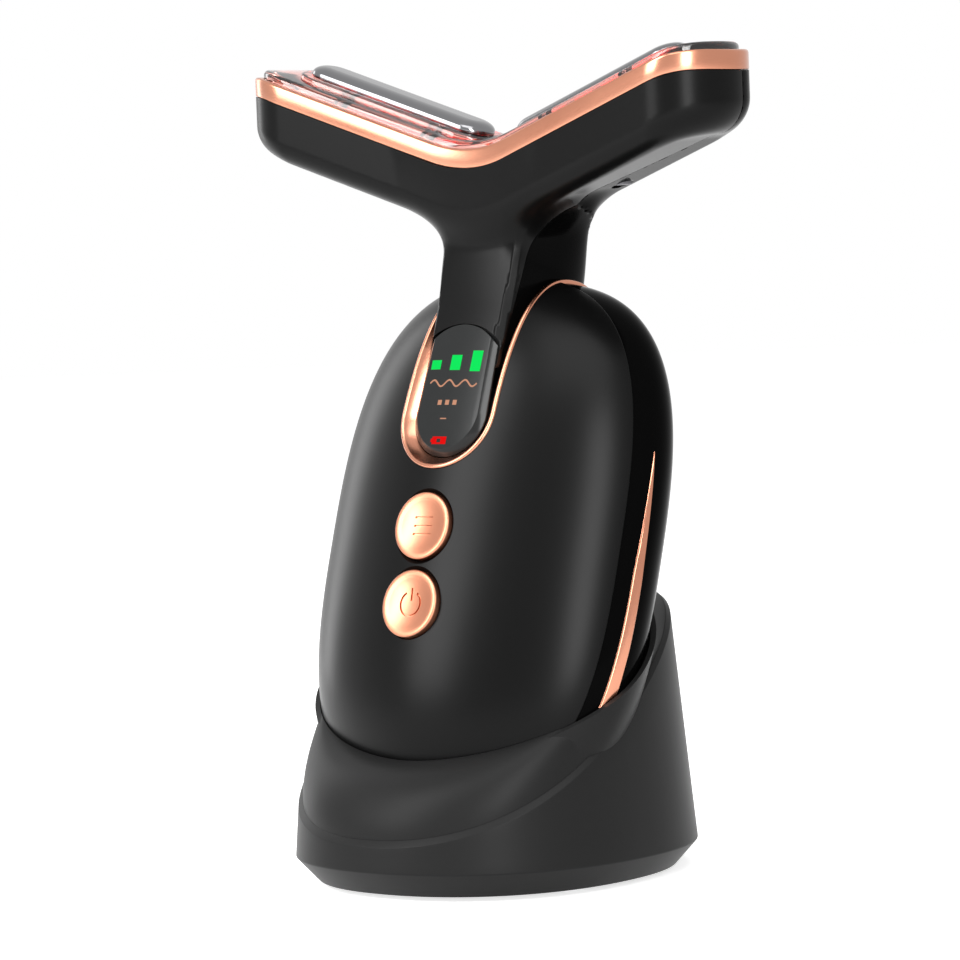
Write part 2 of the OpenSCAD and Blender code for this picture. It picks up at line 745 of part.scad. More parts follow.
// Point of the loop at a station, u inwards from its outer edge and w deep
function loop_point(s, u, w) =
    let (r = loop_r - u, k = s[0],
         a = s[1],
         x = k == 0 || k == 3 ? r * cos(a) : s[2] * r,
         y = k == 3 ? loop_back_y + r * sin(a) : k == 2 ? a : 0,
         z = k == 0 ? loop_turn_z + r * sin(a) : a,
         p = k < 2 ? [x, front_y(x, z), z] : [x, y, dome_z(x, y)],
         n = body_normal(p),
         d = k == 0 ? [0, 1, 0] : k == 3 ? [0, 0, -1] : -[0, n[1], n[2]] / norm([n[1], n[2]]))
    p + w * d;
// How far the station is up the neck: 0 round the display, 1 behind the neck
function loop_share(s) = s[0] == 0 ? 0 : s[0] == 3 ? 1
    : s[0] == 1 ? 0.45 * max(0, (s[1] - neck_low_z + 2) / (loop_over_z - neck_low_z + 2))
    : 0.45 + 0.55 * min(1, 2 * (s[1] - loop_over_y) / (loop_back_y - loop_over_y));
function loop_section(s) =
    let (k = loop_share(s), b = bevel_w + (1.2 - bevel_w) * k, d = bevel_d + (0.5 - bevel_d) * k)
    [loop_point(s, 0.05, bevel_d + 0.9), loop_point(s, 0.05, -loop_proud * 0.4),
     loop_point(s, 0.3, -loop_proud), loop_point(s, 0.6, -loop_proud),
     loop_point(s, 0.85, -loop_proud * 0.3), loop_point(s, b, d),
     loop_point(s, b, bevel_d + 0.9)];
module neck_trim_loop() {
    color(rose_gold) seated() skin_loop([for (s = loop_stations()) loop_section(s)]);
}

// ---- Display ------------------------------------------------------------------------------

module display_window() {
    c = neck_bevel * 0.9;
    color("#141414") seated() at_tongue(display_t) skin([
        at_height(tongue_points(0, display_len), 0.02),
        at_height(tongue_points(0, display_len), display_t - c),
        at_height(tongue_points(neck_bevel, display_len), display_t)]);
}
module display_module() {
    color("#1d3a2a") seated() at_tongue(display_t + module_t) intersection() {
        skin([for (h = [0, module_t]) at_height(tongue_points(pocket_inset, display_len), h)]);
        translate([-tongue_w, 0, -1]) cube([2 * tongue_w, tray_len - 1.2, 6]);
    }
}

// ---- Buttons ------------------------------------------------------------------------------

board_y = -9;
flange_y = front_y(6.2, power_z, shell_wall) + 0.3;
switch_y = board_y - switch_h;
plunger_end = 0.8;
stem_end = switch_y - button_travel - 0.7;
module button(z) { // cap, flange behind the wall, and stem
    r = button_d / 2;
    dish_r = r - 1.1;
    ball = (dish_r * dish_r + button_dish * button_dish) / (2 * button_dish);
    color(rose_gold) seated() at_button(z) difference() {
        union() {
            rotate_extrude($fn = 72) polygon([[0, 0], [r - 0.35, 0], [r, 0.35], [r, flange_y - button_face_y],
                [r + 0.5, flange_y - button_face_y], [r + 0.5, flange_y + 1 - button_face_y],
                [2, flange_y + 1 - button_face_y], [2, stem_end - button_face_y],
                [0, stem_end - button_face_y]]);
        }
        translate([0, 0, button_dish - ball]) sphere(r = ball, $fn = 96);
    }
}
mark_t = 0.3;
module power_button() {
    button(power_z);
    color(rose_gold) seated() at_button(power_z) translate([0, 0, mark_t]) linear_extrude(button_dish) {
        difference() {
            circle(r = 2.3, $fn = 48);
            circle(r = 1.8, $fn = 48);
            translate([-0.6, -3]) square([1.2, 3]);
        }
        translate([-0.25, -2.7]) square([0.5, 2.2]);
    }
}
module mode_button() {
    button(mode_z);
    color(rose_gold) seated() at_button(mode_z) translate([0, 0, mark_t]) linear_extrude(button_dish)
        for (v = [-1.4, 0, 1.4]) translate([-1.9, v - 0.25]) square([3.8, 0.5]);
}
module plunger(z) {
    color("#2b2b2b") seated() translate([0, stem_end, z]) rotate([-90, 0, 0])
        cylinder(d = plunger_d, h = switch_y + plunger_end - stem_end, $fn = 32);
}
module mode_plunger() { plunger(mode_z); }
module power_plunger() { plunger(power_z); }
module push_switches() {
    color(steel) seated() for (z = [power_z, mode_z]) difference() {
        translate([-switch_a / 2, switch_y, z - switch_a / 2]) cube([switch_a, switch_h, switch_a]);
        translate([0, switch_y - 1, z]) rotate([-90, 0, 0])
            cylinder(d = plunger_d + 2 * pin_gap, h = 1 + plunger_end + button_travel + 0.1, $fn = 32);
    }
}

// ---- Inside the handset -------------------------------------------------------------------

board_low = 16;
post_d = 4;
posts = [[-12, 20], [12, 20], [-12, 56], [12, 56]];
module main_board() {
    color("#1f5a3c") seated() {
        translate([-board_w / 2, board_y, board_low]) cube([board_w, board_t, board_h]);
        translate([-6, board_y + board_t, 26]) cube([8, 1, 8]);
        translate([4, board_y + board_t, 42]) cube([5, 1.2, 5]);
        translate([-10, board_y + board_t, 46]) cube([6, 3, 3]);
        translate([9, board_y - 1.2, 24]) cube([4, 1.2, 3]);
    }
}

frame_back = frame_y + frame_t;
cell_low = 18;
motor_y = 2;
motor_z = 11;
module inner_frame() {
    color(dock_grey) seated() difference() {
        union() {
            translate([-22, frame_y, 19]) cube([44, frame_t, 47]);
            translate([-neck_post, frame_y, 60]) cube([2 * neck_post, frame_t, neck_post_top - 60]);
            for (p = posts) translate([p[0], board_y + board_t, p[1]]) rotate([-90, 0, 0])
                cylinder(d = post_d, h = frame_y + 0.1 - board_y - board_t, $fn = 32);
            for (side = [-1, 1]) translate([side * (cell_w / 2 + 0.8) - 0.6, frame_y, 22])
                cube([1.2, frame_t + 4, 30]);
            translate([-5, frame_y, motor_z + 1]) cube([10, 8, 7.5]);
        }
        for (p = boss_places) translate([p[0], frame_y - 1, p[1]]) rotate([-90, 0, 0])
            cylinder(d = screw_d + 0.4, h = frame_t + 2, $fn = 24);
        translate([-8, motor_y, motor_z]) rotate([0, 90, 0])
            cylinder(d = motor_d + 0.1, h = 16, $fn = 48);
        translate([-cell_w / 2 - 0.1, frame_back, cell_low - 0.1]) cube([cell_w + 0.2, 9, cell_h + 0.2]);
        for (z = [28, 40]) translate([-7, frame_y - 1, z]) cube([14, frame_t + 2, 8]);
    }
}

module battery_cell() {
    r = 1.5;
    color("#b9bcc0") seated() translate([0, frame_back + 0.02, cell_low]) rotate([-90, 0, 0])
        linear_extrude(cell_t) difference() {
            translate([-cell_w / 2, -cell_h]) square([cell_w, cell_h]);
            for (u = [-1, 1]) for (v = [0, 1]) translate([u * cell_w / 2, -v * cell_h]) difference() {
                square(2 * r, center = true);
                translate([-u * r, (v * 2 - 1) * r]) circle(r = r, $fn = 24);
            }
        }
}

module motor_case() {
    color(steel) seated() translate([-motor_len / 2, motor_y, motor_z]) rotate([0, 90, 0]) difference() {
        union() {
            cylinder(d = motor_d, h = motor_len, $fn = 48);
            translate([0, 0, motor_len - 0.1]) cylinder(d = 2.6, h = 0.6, $fn = 32);
        }
        translate([0, 0, motor_len - 4]) cylinder(d = motor_shaft_d + 2 * pin_gap, h = 6, $fn = 24);
    }
}
weight_r = 2.8;
module motor_rotor() {
    color("#9a9ca0") seated() translate([0, motor_y, motor_z]) rotate([0, 90, 0]) {
        translate([0, 0, motor_len / 2 - 3.8]) cylinder(d = motor_shaft_d, h = 8.4, $fn = 24);
        translate([0, 0, motor_len / 2 + 0.8]) difference() {
            cylinder(r = weight_r, h = 3.8, $fn = 48);
            translate([-2 * weight_r - 0.8, -weight_r - 1, -1]) cube([2 * weight_r, 2 * weight_r + 2, 6]);
        }
    }
}

module handset_contacts() {
    color("#d9b45a") seated() for (side = [-1, 1]) translate([side * contact_pitch / 2, 0, 0]) {
        translate([0, 0, contact_face]) cylinder(d = contact_d, h = 4.6 - contact_face, $fn = 32);
        translate([0, 0, 3.6]) cylinder(d = contact_d + 2, h = 0.7, $fn = 32);
    }
}

module frame_screws() {
    color(steel) seated() for (p = boss_places) translate([p[0], frame_back, p[1]]) rotate([90, 0, 0]) {
        cylinder(d = screw_d, h = frame_t + 5, $fn = 24);
        translate([0, 0, -1.2]) difference() {
            cylinder(d = 4, h = 1.2, $fn = 32);
            translate([0, 0, -1]) cylinder(d = 1.6, h = 1.6, $fn = 6);
        }
    }
}

// ---- Dock ---------------------------------------------------------------------------------

bevel_top = foot_h + dock_bevel_h;
// Outline of the dock at the height z, t smaller all round
function dock_point(a, z, t) =
    let (inset = t + (z > bevel_top ? (z - bevel_top) * tan(dock_draft)
         : dock_bevel_w * (bevel_top - z) / dock_bevel_h))
    [(dock_w / 2 - inset) * spow(cos(a), 2 / dock_power),
     (dock_d / 2 - inset) * spow(sin(a), 2 / dock_power), z];

// Height of the curved cut through the wall at the depth y
function cut_curve(u) =
    let (v = 1 - u, h = dock_d / 2)
    [-h * v * v * v - 0.12 * h * 3 * u * v * v + 0.45 * h * 3 * u * u * v + h * u * u * u,
     cut_front * v * v * v + (cut_front + 11.4) * 3 * u * v * v
         + cut_rear * 3 * u * u * v + cut_rear * u * u * u];
function cut_z(y, low = 0, high = 1, n = 14) =
    let (u = (low + high) / 2, p = cut_curve(u))
    n == 0 ? p[1] : p[0] < y ? cut_z(y, u, high, n - 1) : cut_z(y, low, u, n - 1);
// Height of the cut on the outline at the angle a
function cut_at(a, t, z = 25, n = 6) =
    let (q = cut_z(dock_point(a, z, t)[1])) n == 0 ? q : cut_at(a, t, q, n - 1);
function edge_point(a, t, rise) = let (z = cut_at(a, t) + rise) dock_point(a, z, t);

// Place of the seated handset
module seated() {
    translate([0, -seat_front, seat_z]) rotate([-lean, 0, 0]) children();
}
function seated_point(p) =
    [p[0], -seat_front + p[1] * cos(lean) + p[2] * sin(lean), seat_z - p[1] * sin(lean) + p[2] * cos(lean)];

// Rim of the cup: the sloping plane through the surface of the cup at the angle a
function rim_point(a, t, z = 24, n = 16) =
    let (s = share(z, -cup_gap),
         p = [(half_w + cup_gap - t) * s * spow(cos(a), 2 / section_power),
              ((sin(a) < 0 ? body_front : body_rear) + cup_gap - t) * s * spow(sin(a), 2 / section_power), z],
         q = seated_point(p),
         want = min(rim_front + (q[1] + rim_front_y) * tan(rim_slope), cut_rear + 0.3))
    n == 0 ? q : rim_point(a, t, z + 0.5 * (want - q[2]), n - 1);
rim_front_y = 22.6;

lip_steps = 4;
cup_n = 40;
// Rounded lip between the cut of the wall and the rim; in is taken off all round and below
function lip_rings(off, n, k) = concat(
    [[for (i = [0 : n - 1]) dock_point(360 * i / n, 6.5, dock_wall + 0.1 + off)]],
    [[for (i = [0 : n - 1]) edge_point(360 * i / n, dock_wall + 0.1 + off, off > 0 ? -off : 0.05)]],
    off > 0 ? [] : [[for (i = [0 : n - 1]) edge_point(360 * i / n, 0.7, 0.05)]],
    [for (q = [1 : k]) [for (i = [0 : n - 1])
        let (a = 360 * i / n, p = edge_point(a, off > 0 ? dock_wall + 0.1 + off : 0.7, off > 0 ? -off : 0.05),
             r = rim_point(a, 1) - [0, 0, off], u = 90 * q / k)
        [p[0] + (r[0] - p[0]) * (1 - cos(u)), p[1] + (r[1] - p[1]) * (1 - cos(u)),
         p[2] + (r[2] - p[2]) * sin(u)]]],
    [[for (i = [0 : n - 1]) let (a = 360 * i / n) [3 * cos(a), -6 + 3 * sin(a), 30 - off]]]);

module dock_shell() {
    low = foot_h;
    stations = [for (i = [0 : cup_n - 1]) 360 * i / cup_n];
    color(dock_grey) as_mesh() difference() {
        skin_loop([for (a = stations)
            [dock_point(a, low, dock_wall), dock_point(a, low, 0), dock_point(a, bevel_top, 0),
             edge_point(a, 0, -0.6), edge_point(a, 0.6, 0), edge_point(a, dock_wall, 0),
             dock_point(a, bevel_top + 0.8, dock_wall)]]);
        seated() body_solid(-cup_gap, 40, 18);
        translate([-socket_w / 2 - 0.6, dock_d / 2 - 6, socket_z - socket_h / 2 - 0.6])
            cube([socket_w + 1.2, 10, socket_h + 1.2]);
    }
}

cup_wall = 2;
// Depth of the board behind the socket, and its back edge
board_d = 12.4;
board_back = dock_d / 2 - 4.7;
dock_posts = [[-21.5, -8], [21.5, -8], [0, board_back - board_d - 3.1]];
module cup_blank(off) {
    skin(lip_rings(off, off > 0 ? 32 : cup_n, off > 0 ? 3 : lip_steps));
}
module below_cut(shift) {
    h = dock_d / 2;
    rotate([90, 0, 90]) translate([0, 0, -cut_size / 2]) linear_extrude(cut_size)
        polygon(concat([[-h - 9, cut_front - shift], for (i = [0 : 16]) cut_curve(i / 16) - [0, shift],
            [h + 9, cut_rear - shift]], [[h + 9, -9], [-h - 9, -9]]));
}
module dock_cup() {
    color(dock_grey) as_mesh() difference() {
        union() {
            difference() {
                cup_blank(0);
                difference() {
                    union() {
                        cup_blank(cup_wall);
                        below_cut(3);
                    }
                    seated() body_solid(-cup_gap - cup_wall, 28, 12);
                }
            }
            for (p = dock_posts) translate([p[0], p[1], base_top + 0.02]) cylinder(d = 5, h = 24, $fn = 12);
        }
        seated() body_solid(-cup_gap, 40, 18);
        for (p = dock_posts) translate([p[0], p[1], 0])
            cylinder(d = screw_d + 4 * screw_gap, h = 8.5, $fn = 16);
        for (side = [-1, 1]) seated() translate([side * contact_pitch / 2, 0, -4])
            rotate(11) cylinder(r = pin_d / 2 + 0.3, h = 5, $fn = 8);
    }
}

base_t = 2;
base_top = foot_h + base_t;
foot_y = dock_d / 2 - 12.7;
foot_x = dock_w / 2 - 13.1;
foot_places = [[0, -foot_y], [0, foot_y], [-foot_x, 0], [foot_x, 0]];
socket_z = base_top + 2.2 + board_t + socket_h / 2 + 0.4;
module dock_base() {
    color("#262626") difference() {
        union() {
            translate([0, 0, foot_h]) linear_extrude(base_t) polygon([for (i = [0 : cup_n - 1])
                let (p = dock_point(360 * i / cup_n, foot_h, dock_wall + 0.1)) [p[0], p[1]]]);
            for (u = [-8, 8]) translate([u, board_back - 9, base_top - 0.1])
                cylinder(d = 4, h = 2.3, $fn = 32);
            translate([-20, 6, base_top - 0.1]) difference() {
                translate([-1.2, -9.2, 0]) cube([42.4, 10.4, 2.1]);
                translate([-0.1, -8.1, -1]) cube([40.2, 8.2, 5]);
            }
        }
        for (p = dock_posts) translate([p[0], p[1], 0]) {
            cylinder(d = screw_d + 0.4, h = 4, $fn = 24);
            cylinder(d = 4.4, h = foot_h + 1.2, $fn = 32);
        }
    }
}

module dock_weight() {
    color("#8a8d90") translate([-20, -2, base_top + 0.02]) cube([40, 8, 3.6]);
}

module dock_board() {
    color("#1f5a3c") {
        translate([-10, board_back - board_d, base_top + 2.2 + 0.02]) cube([20, board_d, board_t]);
        translate([-8, board_back - board_d + 1.4, base_top + 2.2 + board_t]) cube([4, 4, 1]);
    }
}

module charging_socket() {
    wall = 0.3;
    back = dock_d / 2 - 0.9;
    color(steel) translate([0, back, socket_z]) {
        rotate([90, 0, 0]) difference() {
            linear_extrude(socket_len) socket_outline(wall);
            translate([0, 0, -1]) linear_extrude(socket_len - 0.5) socket_outline(0);
        }
        translate([-3.2, -socket_len + 0.2, -0.35]) cube([6.4, socket_len - 1.2, 0.7]);
    }
}
module socket_outline(grow) {
    r = socket_h / 2;
    for (u = [-1, 1]) translate([u * (socket_w / 2 - r), 0]) circle(r = r + grow, $fn = 32);
    translate([-socket_w / 2 + r, -r - grow]) square([socket_w - 2 * r, 2 * (r + grow)]);
}

block_top = -cup_gap - cup_wall - 0.05;
flange_top = -3.3;
contact_face = 0.5;
pin_end = -3.9;
block_low = pin_end - pin_travel - 1.1;
module pin_block() {
    color("#1a1a1a") seated() difference() {
        translate([-9, -3.5, block_low]) cube([18, 7, block_top - block_low]);
        for (side = [-1, 1]) translate([side * contact_pitch / 2, 0, 0]) {
            translate([0, 0, block_low + 0.8])
                cylinder(d = 3, h = flange_top + pin_gap - block_low - 0.8, $fn = 32);
            translate([0, 0, flange_top - 1]) cylinder(r = pin_d / 2 + pin_gap, h = 4, $fn = 32);
        }
    }
}
module contact_pin(side) {
    color("#d9b45a") seated() translate([side * contact_pitch / 2, 0, 0]) rotate_extrude($fn = 32)
        polygon([[0, contact_face - 0.02], [pin_d / 2 - 0.3, contact_face - 0.02],
            [pin_d / 2, contact_face - 0.35],
            [pin_d / 2, flange_top], [1.4, flange_top], [1.4, pin_end], [0, pin_end]]);
}
module contact_pin_left() { contact_pin(-1); }
module contact_pin_right() { contact_pin(1); }

module dock_screws() {
    color(steel) for (p = dock_posts) translate([p[0], p[1], 0]) {
        translate([0, 0, foot_h + 0.4]) difference() {
            cylinder(d = 4, h = 0.8, $fn = 32);
            translate([0, 0, -1]) cylinder(d = 1.6, h = 1.4, $fn = 6);
        }
        translate([0, 0, foot_h + 1]) cylinder(d = screw_d, h = 6.5, $fn = 24);
    }
}
module dock_feet() {
    color("#1b1b1b") for (p = foot_places) translate([p[0], p[1], 0])
        cylinder(d = foot_d, h = foot_h, $fn = 48);
}

front_shell();
rear_shell();
head_front_cover();
head_rear_cover();
neck_trim_loop();
display_window();
display_module();
head_trim_band();
light_window();
electrode_left();
electrode_right();
light_tray();
light_board_left();
light_board_right();
light_diodes();
side_strip_left();
side_strip_right();
mode_button();
power_button();
mode_plunger();
power_plunger();
push_switches();
main_board();
inner_frame();
battery_cell();
motor_case();
motor_rotor();
handset_contacts();
frame_screws();
head_screw_plugs();
dock_shell();
dock_cup();
dock_base();
dock_weight();
dock_board();
pin_block();
contact_pin_left();
contact_pin_right();
charging_socket();
dock_screws();
dock_feet();
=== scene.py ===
import bpy, bmesh
import numpy as np
from math import radians, sin, cos, tan, sqrt, atan, pi
from mathutils import Vector, Matrix


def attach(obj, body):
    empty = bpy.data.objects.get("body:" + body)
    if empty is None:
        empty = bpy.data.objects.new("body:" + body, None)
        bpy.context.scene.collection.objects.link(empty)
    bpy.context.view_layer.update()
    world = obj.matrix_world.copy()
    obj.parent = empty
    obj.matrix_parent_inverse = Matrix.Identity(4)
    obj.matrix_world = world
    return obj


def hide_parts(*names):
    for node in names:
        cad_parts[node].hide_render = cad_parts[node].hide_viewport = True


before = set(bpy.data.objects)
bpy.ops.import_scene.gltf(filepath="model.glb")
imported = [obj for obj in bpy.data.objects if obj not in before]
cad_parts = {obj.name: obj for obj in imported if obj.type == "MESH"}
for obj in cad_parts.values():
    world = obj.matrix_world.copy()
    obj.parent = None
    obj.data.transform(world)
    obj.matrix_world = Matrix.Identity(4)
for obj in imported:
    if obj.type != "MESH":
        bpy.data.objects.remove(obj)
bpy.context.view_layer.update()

# ---- Dock shell ---------------------------------------------------------------------------------
# The outer wall of the charging dock: one ABS moulding, spark-eroded to a fine satin grain,
# cut off in a rising curve and bevelled round its foot. It snaps over the base.

DOCK_W = 63.2
DOCK_D = 67.4
DOCK_POWER = 2.2
DOCK_DRAFT = tan(radians(4.8))
DOCK_WALL = 2.0
FOOT_H = 0.8
BEVEL_W = 3.7
BEVEL_TOP = FOOT_H + 4.1
CUT_FRONT = 9.6
CUT_REAR = 47.0
# Middle points of the cut's curve in the side view: depths as shares of half the dock's, and a rise
CUT_MID_A, CUT_MID_B = -0.12, 0.45
CUT_MID_RISE = 11.4


def spow(a, p):
    """Power that keeps the sign, for rounded-square outlines."""
    return np.sign(a) * np.abs(a) ** p


def dock_point(a, z, inset):
    """Points of the dock's outline at the angles a (degrees) and heights z, some way inside it."""
    a = np.radians(a)
    drafted, bevelled = (z - BEVEL_TOP) * DOCK_DRAFT, BEVEL_W * (BEVEL_TOP - z) / (BEVEL_TOP - FOOT_H)
    t = inset + np.where(z > BEVEL_TOP, drafted, bevelled)
    return np.stack([(DOCK_W / 2 - t) * spow(np.cos(a), 2 / DOCK_POWER),
                     (DOCK_D / 2 - t) * spow(np.sin(a), 2 / DOCK_POWER), z + 0 * a], -1)


def cut_height(y):
    """Height of the curved upper edge of the dock's wall at the depth y."""
    low, high, h = np.zeros_like(y), np.ones_like(y), DOCK_D / 2
    for _ in range(40):
        u = (low + high) / 2
        v = 1 - u
        below = -h * v**3 + 3 * CUT_MID_A * h * u * v * v + 3 * CUT_MID_B * h * u * u * v + h * u**3 < y
        low, high = np.where(below, u, low), np.where(below, high, u)
    u = (low + high) / 2
    v = 1 - u
    return CUT_FRONT * v**3 + (CUT_FRONT + CUT_MID_RISE) * 3 * u * v * v + CUT_REAR * (3 * u * u * v + u**3)


def edge_point(a, inset, rise):
    """Points on the wall's upper edge at the angles a."""
    z = np.full_like(a, 25.0)
    for _ in range(14):
        z = cut_height(dock_point(a, z, inset)[..., 1])
    return dock_point(a, z + rise, inset)


def loft(rings, closed=False, caps=True):
    """Vertices and faces of a skin through rings of points; closed runs the last ring back to the first."""
    m, n = len(rings), len(rings[0])
    verts = np.concatenate(rings)
    faces = [(k * n + i, k * n + (i + 1) % n, (k + 1) % m * n + (i + 1) % n, (k + 1) % m * n + i)
             for k in range(m if closed else m - 1) for i in range(n)]
    if caps and not closed:
        faces += [tuple(range(n))[::-1], tuple((m - 1) * n + i for i in range(n))]
    return verts, faces


def new_piece(name, verts, faces, smooth=35.0):
    """A mesh object from millimetres, its faces turned outwards and shaded smooth up to an angle."""
    mesh = bpy.data.meshes.new(name)
    mesh.from_pydata((np.asarray(verts, float) / 1000).tolist(), [], faces)
    bm = bmesh.new()
    bm.from_mesh(mesh)
    bmesh.ops.remove_doubles(bm, verts=bm.verts, dist=1e-7)
    bmesh.ops.recalc_face_normals(bm, faces=bm.faces)
    bm.to_mesh(mesh)
    bm.free()
    piece = bpy.data.objects.new(name, mesh)
    bpy.context.collection.objects.link(piece)
    mesh.shade_smooth()
    mesh.set_sharp_from_angle(angle=radians(smooth))
    return piece


def carve(piece, cutter, how="DIFFERENCE", smooth=35.0):
    """Cuts, keeps or adds the cutter's space, and leaves no modifier or cutter behind."""
    mod = piece.modifiers.new("carve", "BOOLEAN")
    mod.operation, mod.solver, mod.object = how, "MANIFOLD", cutter
    state = bpy.context.evaluated_depsgraph_get()
    mesh = bpy.data.meshes.new_from_object(piece.evaluated_get(state))
    piece.modifiers.clear()
    old = piece.data
    piece.data = mesh
    bpy.data.meshes.remove(old)
    bpy.data.objects.remove(cutter)
    mesh.shade_smooth()
    mesh.set_sharp_from_angle(angle=radians(smooth))
    return piece


def srgb(hex_colour):
    """Linear colour of an sRGB hex value."""
    c = [int(hex_colour[i:i + 2], 16) / 255 for i in (1, 3, 5)]
    return [x / 12.92 if x < 0.04045 else ((x + 0.055) / 1.055)**2.4 for x in c] + [1.0]


def new_material(name):
    """An empty node material."""
    mat = bpy.data.materials.new(name)
    mat.use_nodes = True
    mat.node_tree.nodes.clear()
    return mat


def add(mat, kind, values=None, links=None, **attrs):
    """Adds a shader node: its settings, its input values, and links from (node, output) to its inputs."""
    node = mat.node_tree.nodes.new("ShaderNode" + kind)
    for key, value in attrs.items():
        setattr(node, key, value)
    for key, value in (values or {}).items():
        node.inputs[key].default_value = value
    for key, (source, output) in (links or {}).items():
        mat.node_tree.links.new(source.outputs[output], node.inputs[key])
    return node


def grain_scale(mm):
    """Noise scale for grains so many millimetres apart, which are two octaves below the noise's cells."""
    return 1000 / mm / 4


def place(piece, body, node, mat):
    """Puts a piece in its node's stead, on its body, with its material."""
    piece.data.materials.clear()
    piece.data.materials.append(mat)
    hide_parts(node)
    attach(piece, body)
    return piece


def dress(node, mat):
    """Gives a node that keeps its own shape its material."""
    for i in range(max(1, len(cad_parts[node].material_slots))):
        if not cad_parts[node].material_slots:
            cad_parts[node].data.materials.append(mat)
        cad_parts[node].material_slots[i].material = mat


# Lean of the handset in the dock, and the place of its lowest point
LEAN = radians(17.5)
SEAT = np.array([0, -11.9, 10.0])
CUP_GAP = 0.14


def seated(p):
    """Points of the upright handset brought to its place in the dock."""
    p = np.asarray(p, float)
    return np.stack([p[..., 0], SEAT[1] + p[..., 1] * cos(LEAN) + p[..., 2] * sin(LEAN),
                     SEAT[2] - p[..., 1] * sin(LEAN) + p[..., 2] * cos(LEAN)], -1)


# Satin ABS: black moulded plastic whose fine spark-eroded grain spreads each highlight into a
# broad grey bloom and keeps it from mirroring anything. Real grit is about 0.05 mm; it is drawn
# at 0.25 mm, the finest that shows, and the sheen drifts over 14 mm as the wall's thickness does.
dock_abs = new_material("moulded_abs_satin_dock")
where = add(dock_abs, "TexCoord")
grain = add(dock_abs, "TexNoise", {"Scale": grain_scale(0.25), "Detail": 2.0, "Roughness": 0.6},
            {"Vector": (where, "Object")})
cloud = add(dock_abs, "TexNoise", {"Scale": grain_scale(14), "Detail": 3.0}, {"Vector": (where, "Object")})
sheen = add(dock_abs, "MapRange", {"From Min": 0.3, "From Max": 0.7, "To Min": 0.38, "To Max": 0.43},
            {"Value": (cloud, "Fac")})
bump = add(dock_abs, "Bump", {"Strength": 0.12, "Distance": 0.00004}, {"Height": (grain, "Fac")})
body = add(dock_abs, "BsdfPrincipled", {"Base Color": srgb("#1c1c1c"), "IOR": 1.54, "Specular IOR Level": 0.08},
           {"Roughness": (sheen, "Result"), "Normal": (bump, "Normal")})
add(dock_abs, "OutputMaterial", None, {"Surface": (body, "BSDF")})

around = np.linspace(0, 360, 320, endpoint=False)


def rounded(corners, radius, steps=4):
    """Ring profile with every corner of a polygon of rings rounded: corners are arrays of points."""
    result = []
    for k, corner in enumerate(corners):
        r = radius[k]
        if r == 0:
            result.append(corner)
            continue
        before, after = corners[k - 1] - corner, corners[(k + 1) % len(corners)] - corner
        a = corner + before / np.linalg.norm(before, axis=-1, keepdims=True) * r
        b = corner + after / np.linalg.norm(after, axis=-1, keepdims=True) * r
        result += [(1 - u)**2 * a + 2 * u * (1 - u) * corner + u * u * b for u in np.linspace(0, 1, steps + 1)]
    return result


zero = np.zeros_like(around)
CHAMFER_W, CHAMFER_DROP = 0.68, 0.8
foot_ring = dock_point(around, zero + FOOT_H, 0)
bevel_ring = dock_point(around, zero + BEVEL_TOP, 0)
wall_edge = edge_point(around, 0, -CHAMFER_DROP)
chamfer_edge = edge_point(around, CHAMFER_W, 0.02)
inner_edge = edge_point(around, DOCK_WALL, 0.0)
inner_low = dock_point(around, zero + BEVEL_TOP + 0.8, DOCK_WALL)
inner_foot = dock_point(around, zero + FOOT_H, DOCK_WALL)
profile = rounded([inner_foot, foot_ring, bevel_ring, wall_edge, chamfer_edge, inner_edge, inner_low],
                  [0, 0.3, 0.22, 0.1, 0.08, 0, 0])
# Levels between the bevel and the cut, so that the drafted wall bends evenly: they come after the
# inner foot's one ring and the five rings of each rounded corner, the foot's and the bevel's
spot = 1 + 5 + 5
rise = profile[spot] - profile[spot - 1]
profile[spot:spot] = [profile[spot - 1] + rise * u for u in (0.2, 0.4, 0.6, 0.8)]
dock_wall_piece = new_piece("dock_wall", *loft(profile, closed=True), smooth=28)

# The egg-shaped body of the handset, which the dock is hollowed for
BODY_W, BODY_FRONT, BODY_REAR = 66.4, 18.6, 19.6
BODY_LOW, BODY_HIGH = 45.0, 47.2
SECTION_POWER, LOW_POWER, HIGH_POWER = 1.8, 2.8, 2.9
BODY_H = BODY_LOW + BODY_HIGH


def share(z, t=0.0):
    """Size of the body's level section at z against the widest one, for a body t smaller all round."""
    z = np.asarray(z, float)
    part = np.where(z > BODY_LOW, (z - BODY_LOW) / (BODY_HIGH - t), (BODY_LOW - z) / (BODY_LOW - t))
    part = np.clip(part, 0, 1)
    q = np.where(z > BODY_LOW, HIGH_POWER, LOW_POWER)
    return (1 - part**q)**(1 / q)


def level_size(x, y, t=0.0):
    """Size of the level section that runs through a point of the plan against the widest one."""
    depth = np.where(y < 0, BODY_FRONT, BODY_REAR) - t
    return ((np.abs(x) / (BODY_W / 2 - t))**SECTION_POWER + (np.abs(y) / depth)**SECTION_POWER)**(1 / SECTION_POWER)


def body_ring(z, t, a):
    """Points of the level section at z, at the angles a (degrees)."""
    a, s = np.radians(a), share(z, t)
    depth = np.where(np.sin(a) < 0, BODY_FRONT, BODY_REAR) - t
    return np.stack([(BODY_W / 2 - t) * s * spow(np.cos(a), 2 / SECTION_POWER),
                     depth * s * spow(np.sin(a), 2 / SECTION_POWER), z + 0 * a], -1)


